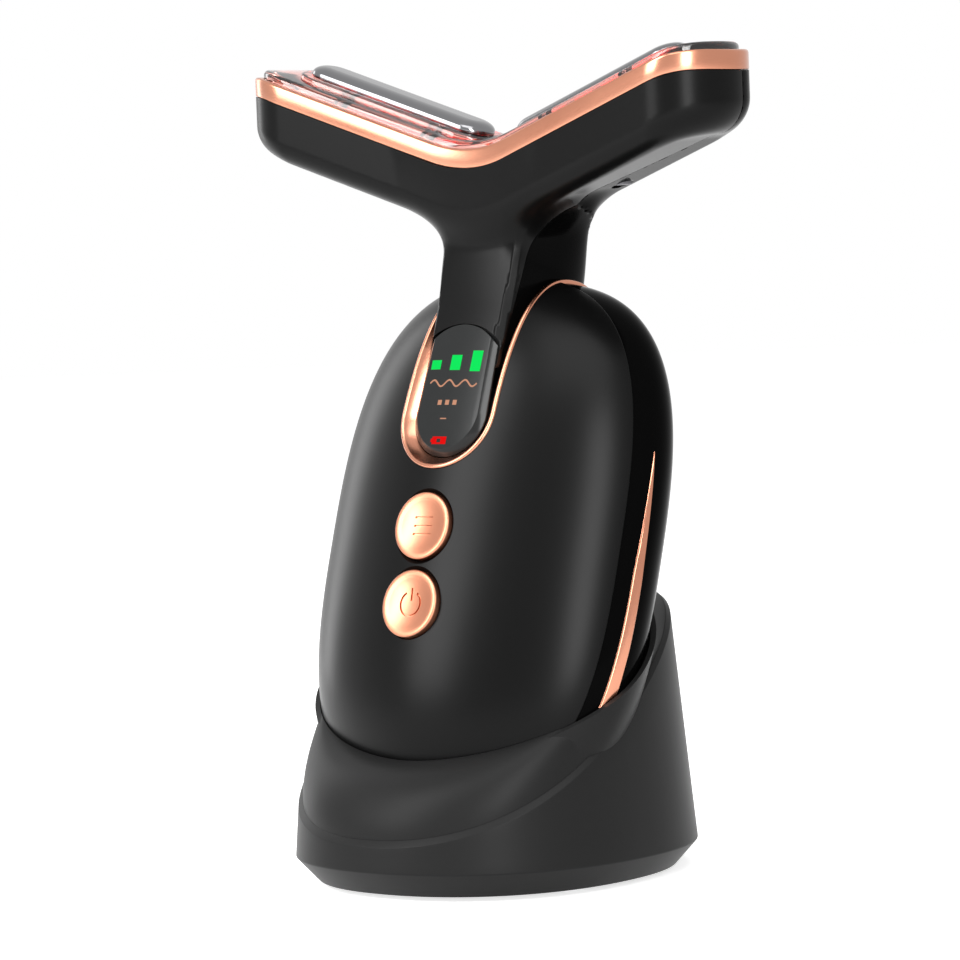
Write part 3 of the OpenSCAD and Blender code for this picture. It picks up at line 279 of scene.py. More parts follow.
def body_blank(name, t, n, k):
    """Whole body t smaller all round, as a cutter."""
    turn = np.radians(np.linspace(-88, 88, k))
    heights = BODY_LOW + np.where(turn < 0, BODY_LOW - t, BODY_HIGH - t) * np.sin(turn)
    a = np.linspace(0, 360, n, endpoint=False)
    return new_piece(name, *loft([seated(body_ring(z, t, a)) for z in heights]))


carve(dock_wall_piece, body_blank("seat_in_wall", -CUP_GAP, 200, 90), smooth=28)

# Mouth for the charging socket in the back: a slot with round ends
SOCKET_W, SOCKET_H, SOCKET_Z, SOCKET_ROOM = 8.4, 2.6, 7.9, 0.6


def slot_outline(w, h, n=24):
    """Outline of a slot with round ends, in the plane of x and z."""
    a = np.radians(np.linspace(-90, 90, n))
    r, half = h / 2, w / 2 - h / 2
    right = np.stack([half + r * np.cos(a), r * np.sin(a)], -1)
    return np.concatenate([right, -right])


def slot_block(name, w, h, y_low, y_high, z):
    """Slot-shaped block along y, as a cutter or as the start of a piece."""
    outline = slot_outline(w, h)
    return new_piece(name, *loft([np.stack([outline[:, 0], np.full(len(outline), y), z + outline[:, 1]], -1)
                                  for y in (y_low, y_high)]))


carve(dock_wall_piece, slot_block("socket_mouth", SOCKET_W + 2 * SOCKET_ROOM, SOCKET_H + 2 * SOCKET_ROOM,
                                  DOCK_D / 2 - 6, DOCK_D / 2 + 4, SOCKET_Z), smooth=28)
place(dock_wall_piece, "dock", "dock_shell", dock_abs)

# ---- Dock cup -----------------------------------------------------------------------------------
# The inner moulding that the handset stands in: the same satin ABS, its lip rolled over in one
# soft curve from the wall's edge to the sloping rim, which runs on up both sides as a thin collar.

RIM_FRONT, RIM_FRONT_Y = 21.4, 22.6
RIM_SLOPE = tan(radians(32.5))
RIM_TOP = CUT_REAR + 0.3


def rim_point(a, t):
    """Points where the rim's sloping plane meets the cup."""
    s_in = np.radians(a)
    z = np.full_like(a, 24.0)
    for _ in range(60):
        s = share(z, -CUP_GAP)
        depth = np.where(np.sin(s_in) < 0, BODY_FRONT, BODY_REAR) + CUP_GAP - t
        p = np.stack([(BODY_W / 2 + CUP_GAP - t) * s * spow(np.cos(s_in), 2 / SECTION_POWER),
                      depth * s * spow(np.sin(s_in), 2 / SECTION_POWER), z], -1)
        q = seated(p)
        z = z + 0.5 * (np.minimum(RIM_FRONT + (q[:, 1] + RIM_FRONT_Y) * RIM_SLOPE, RIM_TOP) - q[:, 2])
    return q


# The lip starts a little inside the wall's chamfer; under it the hollow clears the wall by a hair
CUP_WALL, LIP_START, WALL_CLEAR, CUP_FOOT = 2.0, 0.7, 0.1, 6.5


def cup_blank(name, off, steps):
    """Lip rolled up from the wall's edge to the rim and closed over the bowl, with off taken all round."""
    inset = DOCK_WALL + WALL_CLEAR + off
    rings = [dock_point(around, zero + CUP_FOOT, inset), edge_point(around, inset, -off if off else 0.05)]
    rings += [] if off else [edge_point(around, LIP_START, 0.05)]
    base = rings[-1]
    rise = rim_point(around, 1.0) - [0, 0, off] - base
    rings += [base + rise * [1 - cos(u), 1 - cos(u), sin(u)] for u in np.radians(np.linspace(0, 90, steps + 1)[1:])]
    turn = np.radians(around)
    rings.append(np.stack([3 * np.cos(turn), -6 + 3 * np.sin(turn), zero + 30 - off], -1))
    return new_piece(name, *loft(rings), smooth=28)


dock_cup_piece = cup_blank("dock_cup_lip", 0, 30)
# The hollow under the lip follows it a wall's thickness below, and leaves the bowl its own wall
hollow = cup_blank("cup_hollow", CUP_WALL, 12)
carve(hollow, body_blank("bowl_outside", -CUP_GAP - CUP_WALL, 120, 60))
carve(dock_cup_piece, hollow, smooth=28)
# The rim itself: a collar that hugs the handset all round, cut off level with the rim's slope
COLLAR = 0.9
COLLAR_LOW, FAR = 12, 60.0
high_y = -RIM_FRONT_Y + (RIM_TOP - RIM_FRONT) / RIM_SLOPE
low_y = -RIM_FRONT_Y + (COLLAR_LOW - RIM_FRONT) / RIM_SLOPE
wedge = np.array([[low_y, COLLAR_LOW], [FAR, COLLAR_LOW], [FAR, RIM_TOP], [high_y, RIM_TOP]])
below_rim = new_piece("below_rim", *loft([np.insert(wedge, 0, x, axis=1) for x in (-FAR, FAR)]))
collar = body_blank("rim_collar", -CUP_GAP - COLLAR, 240, 110)
carve(collar, below_rim, "INTERSECT")
carve(dock_cup_piece, collar, "UNION", smooth=28)
carve(dock_cup_piece, body_blank("bowl_inside", -CUP_GAP, 240, 110), smooth=28)
place(dock_cup_piece, "dock", "dock_cup", dock_abs)

# ---- Handset shells -----------------------------------------------------------------------------
# Two ABS half shells screwed to the frame inside: the front one satin black, the rear one high
# gloss, a touch smaller so that the joint between them reads as a fine step.

PARTING = 5.7
SHELL_STEP = 0.3
SHELL_WALL = 2.2


def body_point(y, phi, t):
    """Points of the body's surface at the depth y, in the direction phi (degrees) of the front view."""
    y, phi = np.broadcast_arrays(np.asarray(y, float), np.radians(phi))
    low, high = np.zeros(y.shape), np.full(y.shape, 60.0)
    for _ in range(46):
        r = (low + high) / 2
        x, v = r * np.cos(phi), r * np.sin(phi)
        s = level_size(x, y, t)
        q = np.where(v > 0, HIGH_POWER, LOW_POWER)
        part = np.abs(v) / np.where(v > 0, BODY_HIGH - t, BODY_LOW - t)
        inside = s**q + part**q < 1
        low, high = np.where(inside, r, low), np.where(inside, high, r)
    return np.stack([low * np.cos(phi), y, BODY_LOW + low * np.sin(phi)], -1)


def body_normal(p, t=0.0):
    """Outward direction of the body's surface, eased across its middle lines."""
    x, y, v = p[..., 0], p[..., 1], p[..., 2] - BODY_LOW
    w, depth = BODY_W / 2 - t, np.where(y < 0, BODY_FRONT, BODY_REAR) - t
    c, q = SECTION_POWER, np.where(v > 0, HIGH_POWER, LOW_POWER)
    h = np.where(v > 0, BODY_HIGH - t, BODY_LOW - t)
    eased = [u * (u * u + 0.12**2)**((c - 2) / 2) for u in (x / w, y / depth)]
    k = np.maximum(level_size(x, y, t), 1e-4)**(q - c)
    n = np.stack([k * eased[0] / w, k * eased[1] / depth, np.sign(v) * np.abs(v / h)**(q - 1) / h], -1)
    return n / np.linalg.norm(n, axis=-1, keepdims=True)


def turned(n):
    """Directions of the upright handset turned with its lean."""
    return np.stack([n[..., 0], n[..., 1] * cos(LEAN) + n[..., 2] * sin(LEAN),
                     -n[..., 1] * sin(LEAN) + n[..., 2] * cos(LEAN)], -1)


def upright(p):
    """Points in the dock brought back to the upright handset."""
    q = p - SEAT
    return np.stack([q[..., 0], q[..., 1] * cos(LEAN) - q[..., 2] * sin(LEAN),
                     q[..., 1] * sin(LEAN) + q[..., 2] * cos(LEAN)], -1)


def shade_by(piece, surface):
    """Shades the corners that lie on a smooth surface by that surface, so that cuts leave no dents.

    surface gives, for points of the upright handset, its outward directions and which points lie on it.
    """
    mesh = piece.data
    co = np.empty(len(mesh.vertices) * 3)
    mesh.vertices.foreach_get("co", co)
    index = np.empty(len(mesh.loops), int)
    mesh.loops.foreach_get("vertex_index", index)
    facing, count = np.empty(len(mesh.polygons) * 3), np.empty(len(mesh.polygons), int)
    mesh.polygons.foreach_get("normal", facing)
    mesh.polygons.foreach_get("loop_total", count)
    facing = np.repeat(facing.reshape(-1, 3), count, axis=0)
    own = np.empty(len(mesh.loops) * 3)
    mesh.corner_normals.foreach_get("vector", own)
    n, near = surface(upright(co.reshape(-1, 3) * 1000))
    n = turned(n)[index]
    on = near[index] & (np.sum(n * facing, -1) > 0.8)
    mesh.normals_split_custom_set(np.where(on[:, None], n, own.reshape(-1, 3)).tolist())


def on_body(p, t=0.0):
    """Outward directions at points p, and which of them lie on the body t smaller all round."""
    v = p[:, 2] - BODY_LOW
    q = np.where(v > 0, HIGH_POWER, LOW_POWER)
    f = (level_size(p[:, 0], p[:, 1], t)**q + (np.abs(v) / np.where(v > 0, BODY_HIGH - t, BODY_LOW - t))**q)**(1 / q)
    return body_normal(p, t), np.abs(f - 1) < 0.0012


def half_shell(name, edge_y, pole_y, t, radius):
    """One half shell: outside from the middle to its rounded edge, and back along the inside."""
    sign = 1 if pole_y > edge_y else -1
    phi = np.linspace(0, 360, 320, endpoint=False)
    far = pole_y - sign * t
    u = np.linspace(0.004, 1, 84)
    levels = edge_y + (far - edge_y) * (1 - u * u * (3 - 2 * u) * 0.35 - u**2 * 0.65)
    outside = [body_point(np.full_like(phi, y), phi, t) for y in levels]
    last = outside[-1]
    n = body_normal(last, t)
    centre = last - radius * n
    edge_way = np.array([0, -sign * 1.0, 0])
    turn = [n * (1 - k) + edge_way * k for k in np.linspace(0, 1, 6)[1:]]
    rolled_edge = [centre + radius * d / np.linalg.norm(d, axis=-1, keepdims=True) for d in turn]
    inner_y = np.linspace(edge_y - sign * radius * 0.4, pole_y - sign * (SHELL_WALL + 0.01), 30)
    inside = [body_point(np.full_like(phi, y), phi, SHELL_WALL) for y in inner_y]
    rings = outside + rolled_edge + inside
    return new_piece(name, *loft([seated(r) for r in rings]), smooth=32)


# Width of the trim loop, its lowest point in front and the middle of its turn behind the neck
LOOP_W, LOOP_LOW, LOOP_BACK = 20.0, 55.6, -0.5


def trim_slot(name):
    """The slot in both shells for the trim loop: round-ended in the front view and in the plan."""
    r = LOOP_W / 2
    a = np.radians(np.linspace(180, 360, 72))
    outline = np.concatenate([np.stack([r * np.cos(a), LOOP_LOW + r + r * np.sin(a)], -1), [[r, 140], [-r, 140]]])
    front = new_piece(name, *loft([seated(np.insert(outline, 1, y, axis=1)) for y in (-60, -4.0)]))
    a = np.radians(np.linspace(0, 180, 72))
    outline = np.concatenate([np.stack([r * np.cos(a), LOOP_BACK + r * np.sin(a)], -1), [[-r, -7.4], [r, -7.4]]])
    plan = new_piece(name + "_plan", *loft([seated(np.insert(outline, 2, z, axis=1)) for z in (66, 150)]))
    return carve(front, plan, "UNION")


# Satin ABS of the front: the same grain as the dock, a little finer (drawn at 0.22 mm), so the
# bloom is softer and the moulding has long grey highlights with black between them.
front_abs = new_material("moulded_abs_satin_black")
where = add(front_abs, "TexCoord")
grain = add(front_abs, "TexNoise", {"Scale": grain_scale(0.22), "Detail": 2.0, "Roughness": 0.6},
            {"Vector": (where, "Object")})
cloud = add(front_abs, "TexNoise", {"Scale": grain_scale(18), "Detail": 3.0}, {"Vector": (where, "Object")})
sheen = add(front_abs, "MapRange", {"From Min": 0.3, "From Max": 0.7, "To Min": 0.27, "To Max": 0.31},
            {"Value": (cloud, "Fac")})
bump = add(front_abs, "Bump", {"Strength": 0.06, "Distance": 0.00003}, {"Height": (grain, "Fac")})
body = add(front_abs, "BsdfPrincipled", {"Base Color": srgb("#070707"), "IOR": 1.54, "Specular IOR Level": 0.09},
           {"Roughness": (sheen, "Result"), "Normal": (bump, "Normal")})
add(front_abs, "OutputMaterial", None, {"Surface": (body, "BSDF")})

front_piece = half_shell("front_shell_satin", -PARTING - 0.05, -BODY_FRONT, 0.0, 0.3)
carve(front_piece, trim_slot("slot_in_front"), smooth=32)

# Round openings for the two buttons, their edge rounded over by the cutter's flare
BUTTON_R, BUTTON_GAP, BUTTON_PROUD = 5.65, 0.1, 0.7
BUTTONS = {"mode_button": 46.0, "power_button": 33.0}
BUTTON_FACE = -BODY_FRONT * float(share(BUTTONS["power_button"])) - BUTTON_PROUD


def lathe(name, profile, origin, axis, n=96, smooth=30.0):
    """Turned piece: radius and height pairs about the axis, from an origin on the upright handset."""
    a = np.radians(np.linspace(0, 360, n, endpoint=False))
    axis = np.array(axis, float)
    side = np.array([1.0, 0, 0]) if abs(axis[0]) < 0.9 else np.array([0, 1.0, 0])
    third = np.cross(axis, side)
    around_axis = np.outer(np.cos(a), side), np.outer(np.sin(a), third)
    rings = [origin + around_axis[0] * max(r, 0.002) + around_axis[1] * max(r, 0.002) + axis * h for r, h in profile]
    return new_piece(name, *loft([seated(r) for r in rings]), smooth=smooth)


for name, z in BUTTONS.items():
    r = BUTTON_R + BUTTON_GAP
    flare = [(r, 9.0), (r, 1.35)]
    flare += [(r + 0.35 * (1 - cos(u)), 1.35 - 0.35 * sin(u)) for u in np.radians([20, 45, 70])] + [(r + 1.5, -0.6)]
    cutter = lathe(name + "_opening", flare, np.array([0, BUTTON_FACE, z]), (0, 1, 0))
    carve(front_piece, cutter, smooth=32)
shade_by(front_piece, on_body)
place(front_piece, "handset", "front_shell", front_abs)

# Gloss ABS of the rear: a polished tool leaves it nearly a black mirror, with a slow wave in the
# surface that a moulding of this size always has.
rear_abs = new_material("moulded_abs_gloss_black")
where = add(rear_abs, "TexCoord")
wave = add(rear_abs, "TexNoise", {"Scale": grain_scale(30), "Detail": 1.0}, {"Vector": (where, "Object")})
wipe = add(rear_abs, "TexNoise", {"Scale": grain_scale(9), "Detail": 4.0, "Roughness": 0.6},
           {"Vector": (where, "Object")})
sheen = add(rear_abs, "MapRange", {"From Min": 0.35, "From Max": 0.7, "To Min": 0.1, "To Max": 0.16},
            {"Value": (wipe, "Fac")})
bump = add(rear_abs, "Bump", {"Strength": 0.05, "Distance": 0.0004}, {"Height": (wave, "Fac")})
body = add(rear_abs, "BsdfPrincipled", {"Base Color": srgb("#050505"), "IOR": 1.54, "Specular IOR Level": 0.01},
           {"Roughness": (sheen, "Result"), "Normal": (bump, "Normal")})
add(rear_abs, "OutputMaterial", None, {"Surface": (body, "BSDF")})

STRIP_LOW, STRIP_HIGH, STRIP_W, STRIP_FRONT, STRIP_DEPTH = 20.0, 63.5, 2.4, 1.9, 1.1
rear_piece = half_shell("rear_shell_gloss", -PARTING + 0.05, BODY_REAR, SHELL_STEP, 0.12)
carve(rear_piece, trim_slot("slot_in_rear"), smooth=32)


def strip_edges(grow, n=60):
    """Heights up a side strip with the depths of its two edges."""
    z = np.linspace(STRIP_LOW - grow, STRIP_HIGH + grow, n)
    u = (z - STRIP_LOW + grow) / (STRIP_HIGH - STRIP_LOW + 2 * grow)
    foot, waist = STRIP_W / 2 + grow, STRIP_W * 0.4 + grow
    half = np.where(u < 0.5, foot * (1 - 2 * u) + waist * 2 * u, waist * 2 * (1 - u))
    rear = np.minimum(half, half[0] * np.clip((z - STRIP_LOW + grow) / 0.3 + 0.6, 0, 1))
    return z, -STRIP_FRONT - half, -STRIP_FRONT + rear


def strip_solid(name, side, grow, out_t, in_t, edge):
    """Thin curved strip in the outline above, from out_t to in_t below the body's surface."""
    z, front, rear = strip_edges(grow)
    front, rear = front[:-1], rear[:-1]
    z = z[:-1]

    def at(share_across, t):
        y = front + (rear - front) * share_across
        s = share(z, t)
        u = np.clip(np.abs(y) / (BODY_FRONT - t) / s, 0, 0.999)
        return seated(np.stack([side * (BODY_W / 2 - t) * s * (1 - u**SECTION_POWER)**(1 / SECTION_POWER), y, z], -1))
    rows = [at(0, in_t), at(0, out_t + edge), at(0.04, out_t + edge * 0.3), at(0.1, out_t), at(0.5, out_t),
            at(0.9, out_t), at(0.96, out_t + edge * 0.3), at(1, out_t + edge), at(1, in_t)]
    rings = [np.array([row[k] for row in rows]) for k in range(len(z))]
    return new_piece(name, *loft(rings), smooth=30)


for side in (-1, 1):
    carve(rear_piece, strip_solid("strip_groove", side, 0.05, -1.5, STRIP_DEPTH, 0.0), smooth=32)
# Round holes in the bottom for the two charging contacts
CONTACT_R, CONTACT_GAP, CONTACT_X = 2.0, 0.06, 6.0
for side in (-1, 1):
    bore = [(CONTACT_R + CONTACT_GAP, -2), (CONTACT_R + CONTACT_GAP, 6)]
    carve(rear_piece, lathe("contact_hole", bore, np.array([side * CONTACT_X, 0, 0]), (0, 0, 1), 48), smooth=32)
shade_by(rear_piece, lambda p: on_body(p, SHELL_STEP))
place(rear_piece, "handset", "rear_shell", rear_abs)

# ---- Side strips --------------------------------------------------------------------------------
# Thin pointed trims pressed into a groove on each side of the rear shell: ABS with a rose-gold
# electroplated skin, buffed along their length.

# Electroplated rose gold: copper-gold over bright nickel, so it is a mirror broken up by fine
# buffing lines. Real lines are about 0.02 mm apart; they are drawn at 0.3 mm.
rose_plate = new_material("electroplated_rose_gold_buffed")
where = add(rose_plate, "TexCoord")
stretch = add(rose_plate, "Mapping", {"Scale": (1.0, 1.0, 0.06)}, {"Vector": (where, "Object")})
lines = add(rose_plate, "TexNoise", {"Scale": grain_scale(0.3), "Detail": 2.0}, {"Vector": (stretch, "Vector")})
cloud = add(rose_plate, "TexNoise", {"Scale": grain_scale(8), "Detail": 3.0}, {"Vector": (where, "Object")})
sheen = add(rose_plate, "MapRange", {"From Min": 0.3, "From Max": 0.7, "To Min": 0.17, "To Max": 0.24},
            {"Value": (cloud, "Fac")})
tint = add(rose_plate, "ValToRGB", None, {"Fac": (cloud, "Fac")})
tint.color_ramp.elements[0].position, tint.color_ramp.elements[0].color = 0.3, srgb("#bd7f66")
tint.color_ramp.elements[1].position, tint.color_ramp.elements[1].color = 0.7, srgb("#c98c72")
bump = add(rose_plate, "Bump", {"Strength": 0.04, "Distance": 0.00003}, {"Height": (lines, "Fac")})
body = add(rose_plate, "BsdfPrincipled", {"Metallic": 1.0},
           {"Base Color": (tint, "Color"), "Roughness": (sheen, "Result"), "Normal": (bump, "Normal")})
add(rose_plate, "OutputMaterial", None, {"Surface": (body, "BSDF")})

for side, name in ((-1, "side_strip_left"), (1, "side_strip_right")):
    strip = strip_solid(name + "_trim", side, -0.05, 0.1, STRIP_DEPTH, 0.22)
    place(strip, "handset", name, rose_plate)

# ---- Trim loop ----------------------------------------------------------------------------------
# One die-cast zinc ring plated rose gold: a polished rounded edge outside and a bevel that falls
# to the display, narrowing as it climbs the shoulders and closes behind the neck.

LOOP_R = LOOP_W / 2
LOOP_TURN = LOOP_LOW + LOOP_R
LOOP_OVER = 84.0
NECK_LOW = BODY_H - 15.6
# Width and depth of the bevel in front, and behind the neck
BEVEL_IN, BEVEL_DEEP, BACK_IN, BACK_DEEP = 2.3, 1.7, 1.2, 0.5
RIM_W = 0.93


def front_y(x, z):
    """Depth of the body's front surface at a point of the front view."""
    s = share(z)
    u = np.minimum(np.abs(x) / (BODY_W / 2 * np.maximum(s, 0.001)), 1)
    return -BODY_FRONT * s * (1 - u**SECTION_POWER)**(1 / SECTION_POWER)


def dome_z(x, y):
    """Height of the dome over a point of the plan."""
    return BODY_LOW + BODY_HIGH * np.maximum(0, 1 - level_size(x, y)**HIGH_POWER)**(1 / HIGH_POWER)


LOOP_OVER_Y = float(front_y(LOOP_R, LOOP_OVER))
# Stations all the way round: how each lies (0 front turn, 1 front side, 2 shoulder, 3 back turn),
# its angle, height or depth, and its side
stations = ([(0, a, 0) for a in np.linspace(180, 360, 97)[:-1]]
            + [(1, z, 1) for z in np.linspace(LOOP_TURN, LOOP_OVER, 49)[:-1]]
            + [(2, y, 1) for y in np.linspace(LOOP_OVER_Y, LOOP_BACK, 33)[:-1]]
            + [(3, a, 0) for a in np.linspace(0, 180, 97)]
            + [(2, y, -1) for y in np.linspace(LOOP_BACK, LOOP_OVER_Y, 33)[1:]]
            + [(1, z, -1) for z in np.linspace(LOOP_OVER, LOOP_TURN, 49)[1:-1]])
kind, at, side = (np.array(c, float) for c in zip(*stations))
climb = np.select([kind == 0, kind == 3, kind == 1],
                  [0 * at, 1 + 0 * at, 0.45 * np.clip((at - NECK_LOW + 2) / (LOOP_OVER - NECK_LOW + 2), 0, 1)],
                  0.45 + 0.55 * np.clip(2 * (at - LOOP_OVER_Y) / (LOOP_BACK - LOOP_OVER_Y), 0, 1))


def loop_ring(u, w):
    """Points of the loop all the way round, u inwards from its outer edge and w below the body's surface."""
    r = LOOP_R - u
    turn = np.radians(at)
    x = np.where((kind == 0) | (kind == 3), r * np.cos(turn), side * r)
    z = np.where(kind == 0, LOOP_TURN + r * np.sin(turn), at)
    y = np.where(kind == 3, LOOP_BACK + r * np.sin(turn), at)
    on_front = kind < 2
    p = np.where(on_front[:, None], np.stack([x, front_y(x, np.where(on_front, z, 60)), z], -1),
                 np.stack([x, y, dome_z(x, np.where(on_front, 0, y))], -1))
    n = body_normal(p)
    flat = n * [0, 1, 1]
    flat = flat / np.linalg.norm(flat, axis=-1, keepdims=True)
    d = np.select([(kind == 0)[:, None], (kind == 3)[:, None]], [0 * p + [0, 1.0, 0], 0 * p + [0, 0, -1.0]], -flat)
    return p + np.asarray(w)[..., None] * d


bevel_in = BEVEL_IN + (BACK_IN - BEVEL_IN) * climb
bevel_deep = BEVEL_DEEP + (BACK_DEEP - BEVEL_DEEP) * climb
under = BEVEL_DEEP + 0.9 + 0 * at
rim = [(0.05, 0.35), (0.06, 0.02), (0.12, -0.14), (0.22, -0.25), (0.36, -0.3), (0.52, -0.3), (0.66, -0.25),
       (0.78, -0.15), (0.86, -0.04), (RIM_W, 0.08)]
rows = [loop_ring(0.05, under)] + [loop_ring(u, w + 0 * at) for u, w in rim]
for v in (0.3, 0.6, 0.9, 1.0):
    rows.append(loop_ring(RIM_W + (bevel_in - RIM_W) * v, 0.08 + (bevel_deep - 0.08) * (v + 0.16 * v * (1 - v))))
rows.append(loop_ring(bevel_in, under))
loop_rings = [seated(np.array([row[k] for row in rows])) for k in range(len(at))]
loop_piece = new_piece("trim_loop_plated", *loft(loop_rings, closed=True), smooth=38)
place(loop_piece, "handset", "neck_trim_loop", rose_plate)

# ---- Head and neck covers -----------------------------------------------------------------------
# Two ABS mouldings that make the neck and the V-shaped head: satin black in front, high gloss
# behind, parted along the side of the neck and arms. The neck's front edges are bevelled.

HEAD_LEN, HEAD_DEPTH, ARM_H, ARM_RISE, V_ROUND = 100.0, 21.6, 10.4, radians(19), 24.0
ARM_SWEEP, HEAD_Z, HEAD_FRONT, HEAD_TILT = 0.07, 108.9, 11.9, radians(17.5)
BAND_H, BAND_T, WINDOW_RISE = 3.3, 1.4, 1.3
TIP_FALL = 0.026
END_R = HEAD_DEPTH / 2
ARM_X = HEAD_LEN / 2 - END_R
NECK_W, NECK_FILLET, NECK_REAR, NECK_BEVEL = 17.0, 10.0, 8.0, 1.1
TONGUE_W, TONGUE_SET, TONGUE_SLOPE = 15.0, 0.7, radians(3.4)
TONGUE_LOW = LOOP_LOW + (LOOP_W - TONGUE_W) / 2
TONGUE_Y = float(front_y(0.0, TONGUE_LOW)) + TONGUE_SET
FILLET_Z = HEAD_Z - 17
CROWN = 0.35
FACE_BOW, NECK_BLEND = 0.012, 4.5


def v_z(x):
    """Rise of the band's lower edge along the V, round in the middle and easing at the tips."""
    end = V_ROUND * sin(ARM_RISE)
    x = np.abs(x)
    straight = x * tan(ARM_RISE) - V_ROUND * (1 / cos(ARM_RISE) - 1)
    return np.where(x < end, V_ROUND - np.sqrt(np.maximum(V_ROUND**2 - x * x, 0)),
                    straight - TIP_FALL * np.maximum(0, x - ARM_X - 2)**2)


def sweep_y(x):
    """Forward shift of the arms."""
    return -ARM_SWEEP / tan(ARM_RISE) * v_z(x)


def at_head(p):
    """Points drawn round the bottom of the V brought to the upright handset."""
    p = np.asarray(p, float)
    return np.stack([p[..., 0], -HEAD_FRONT + p[..., 1] * cos(HEAD_TILT) - p[..., 2] * sin(HEAD_TILT),
                     HEAD_Z + p[..., 1] * sin(HEAD_TILT) + p[..., 2] * cos(HEAD_TILT)], -1)


def soft_and(a, b, r):
    """Inside of both of two fields, their meeting edge rounded to the radius r."""
    qa, qb = np.maximum(a + r, 0), np.maximum(b + r, 0)
    return np.minimum(np.maximum(a + r, b + r), 0) + np.sqrt(qa * qa + qb * qb) - r


def head_field(p):
    """Distance of points to the outside of neck and head together, negative within."""
    x, y, z = p[..., 0], p[..., 1], p[..., 2]
    u, v = y + HEAD_FRONT, z - HEAD_Z
    hy, hz = u * cos(HEAD_TILT) + v * sin(HEAD_TILT), -u * sin(HEAD_TILT) + v * cos(HEAD_TILT)
    dy = hy - sweep_y(x)
    over = np.maximum(np.abs(x) - ARM_X, 0)
    plan = np.sqrt(over * over + dy * dy) - END_R
    back = np.clip(dy / (2 * END_R) + 0.5, 0, 1)
    below = (v_z(x) - ARM_H + 0.9 * back - hz) * cos(ARM_RISE)
    radius = 4 + 0.5 * back + (1.2 - 0.4 * back) * np.clip(over / END_R, 0, 1)
    bar = soft_and(soft_and(plan, below, radius), hz - v_z(x) - 3.6, 1.6)
    # The neck: growing sideways into the arms, its front curving forward and its back as well
    h = np.clip(z - FILLET_Z, 0, NECK_FILLET * 0.97)
    growth = NECK_FILLET - np.sqrt(NECK_FILLET**2 - h * h)
    wide = TONGUE_W / 2 + (NECK_W - TONGUE_W) / 2 * np.clip((z - NECK_LOW) / (FILLET_Z - NECK_LOW), 0, 1) + growth
    face = TONGUE_Y + (z - TONGUE_LOW) * tan(TONGUE_SLOPE) + CROWN * (x / (TONGUE_W / 2))**2
    face = face - FACE_BOW * np.maximum(0, z - HEAD_Z + 25)**2
    rear = NECK_REAR - 1.25 * growth
    mid = face + (rear - face) * 0.4
    side, front = np.abs(x) - wide, face - y
    fade = np.clip((z - FILLET_Z + 3) / 11, 0, 1)
    fade = fade * fade * (3 - 2 * fade)
    bevelled = np.maximum(soft_and(side, front, 0.15), (side + front + NECK_BEVEL) / sqrt(2))
    box = bevelled * (1 - fade) + soft_and(side, front, 3.6) * fade
    g = np.maximum(((np.abs(x) / wide)**2.5 + (np.abs(y - mid) / np.maximum(rear - mid, 1))**2.5)**0.4, 1e-3)
    egg = np.hypot(x, y - mid) * (1 - 1 / g)
    neck = np.maximum(np.where(y < mid, box, egg), z - HEAD_Z + 3)
    neck = np.maximum(neck, NECK_LOW - 3 - z)
    # Both together, with a small fillet where they meet
    w = np.clip(0.5 + 0.5 * (bar - neck) / NECK_BLEND, 0, 1)
    return bar * (1 - w) + neck * w - NECK_BLEND * w * (1 - w)


def field_surface(field, low, high, step):
    """Closed surface of a field: one corner in each cell that it passes, drawn onto it along its slope."""
    axes = [np.arange(a, b + step, step) for a, b in zip(low, high)]
    grid = np.stack(np.meshgrid(*axes, indexing="ij"), -1)
    inside = field(grid) < 0
    counts = sum(inside[i:inside.shape[0] - 1 + i, j:inside.shape[1] - 1 + j, k:inside.shape[2] - 1 + k].astype(int)
                 for i in (0, 1) for j in (0, 1) for k in (0, 1))
    cells = np.argwhere((counts > 0) & (counts < 8))
    number = -np.ones(counts.shape, int)
    number[tuple(cells.T)] = np.arange(len(cells))
    p = np.array([axes[i][cells[:, i]] for i in range(3)]).T + step / 2

    def slope(q):
        e = 0.02
        return np.stack([(field(q + d) - field(q - d)) / (2 * e) for d in np.eye(3) * e], -1)
    start = p.copy()
    for _ in range(7):
        g = slope(p)
        p = p - 0.9 * (field(p) / np.maximum(np.sum(g * g, -1), 0.05))[:, None] * g
        p = np.clip(p, start - 0.95 * step, start + 0.95 * step)
    faces = []
    for axis in range(3):
        b, c = [(1, 2), (2, 0), (0, 1)][axis]
        a = np.take(inside, range(inside.shape[axis] - 1), axis)
        d = np.take(inside, range(1, inside.shape[axis]), axis)
        cross = np.argwhere(a != d)
        within = [(cross[:, i] > 0) & (cross[:, i] < counts.shape[i]) for i in (b, c)]
        cross = cross[within[0] & within[1]]
        out = a[tuple(cross.T)]
        quad = []
        for sb, sc in ((-1, -1), (0, -1), (0, 0), (-1, 0)):
            q = cross.copy()
            q[:, b] += sb
            q[:, c] += sc
            quad.append(number[tuple(q.T)])
        quad = np.stack(quad, -1)
        faces += np.where(out[:, None], quad, quad[:, ::-1]).tolist()
    return p, faces, slope


verts, faces, slope = field_surface(head_field, (-52, -33, NECK_LOW - 4), (52, 14, HEAD_Z + 29), 0.62)
head_blank = new_piece("head_blank", seated(verts), faces, smooth=50)


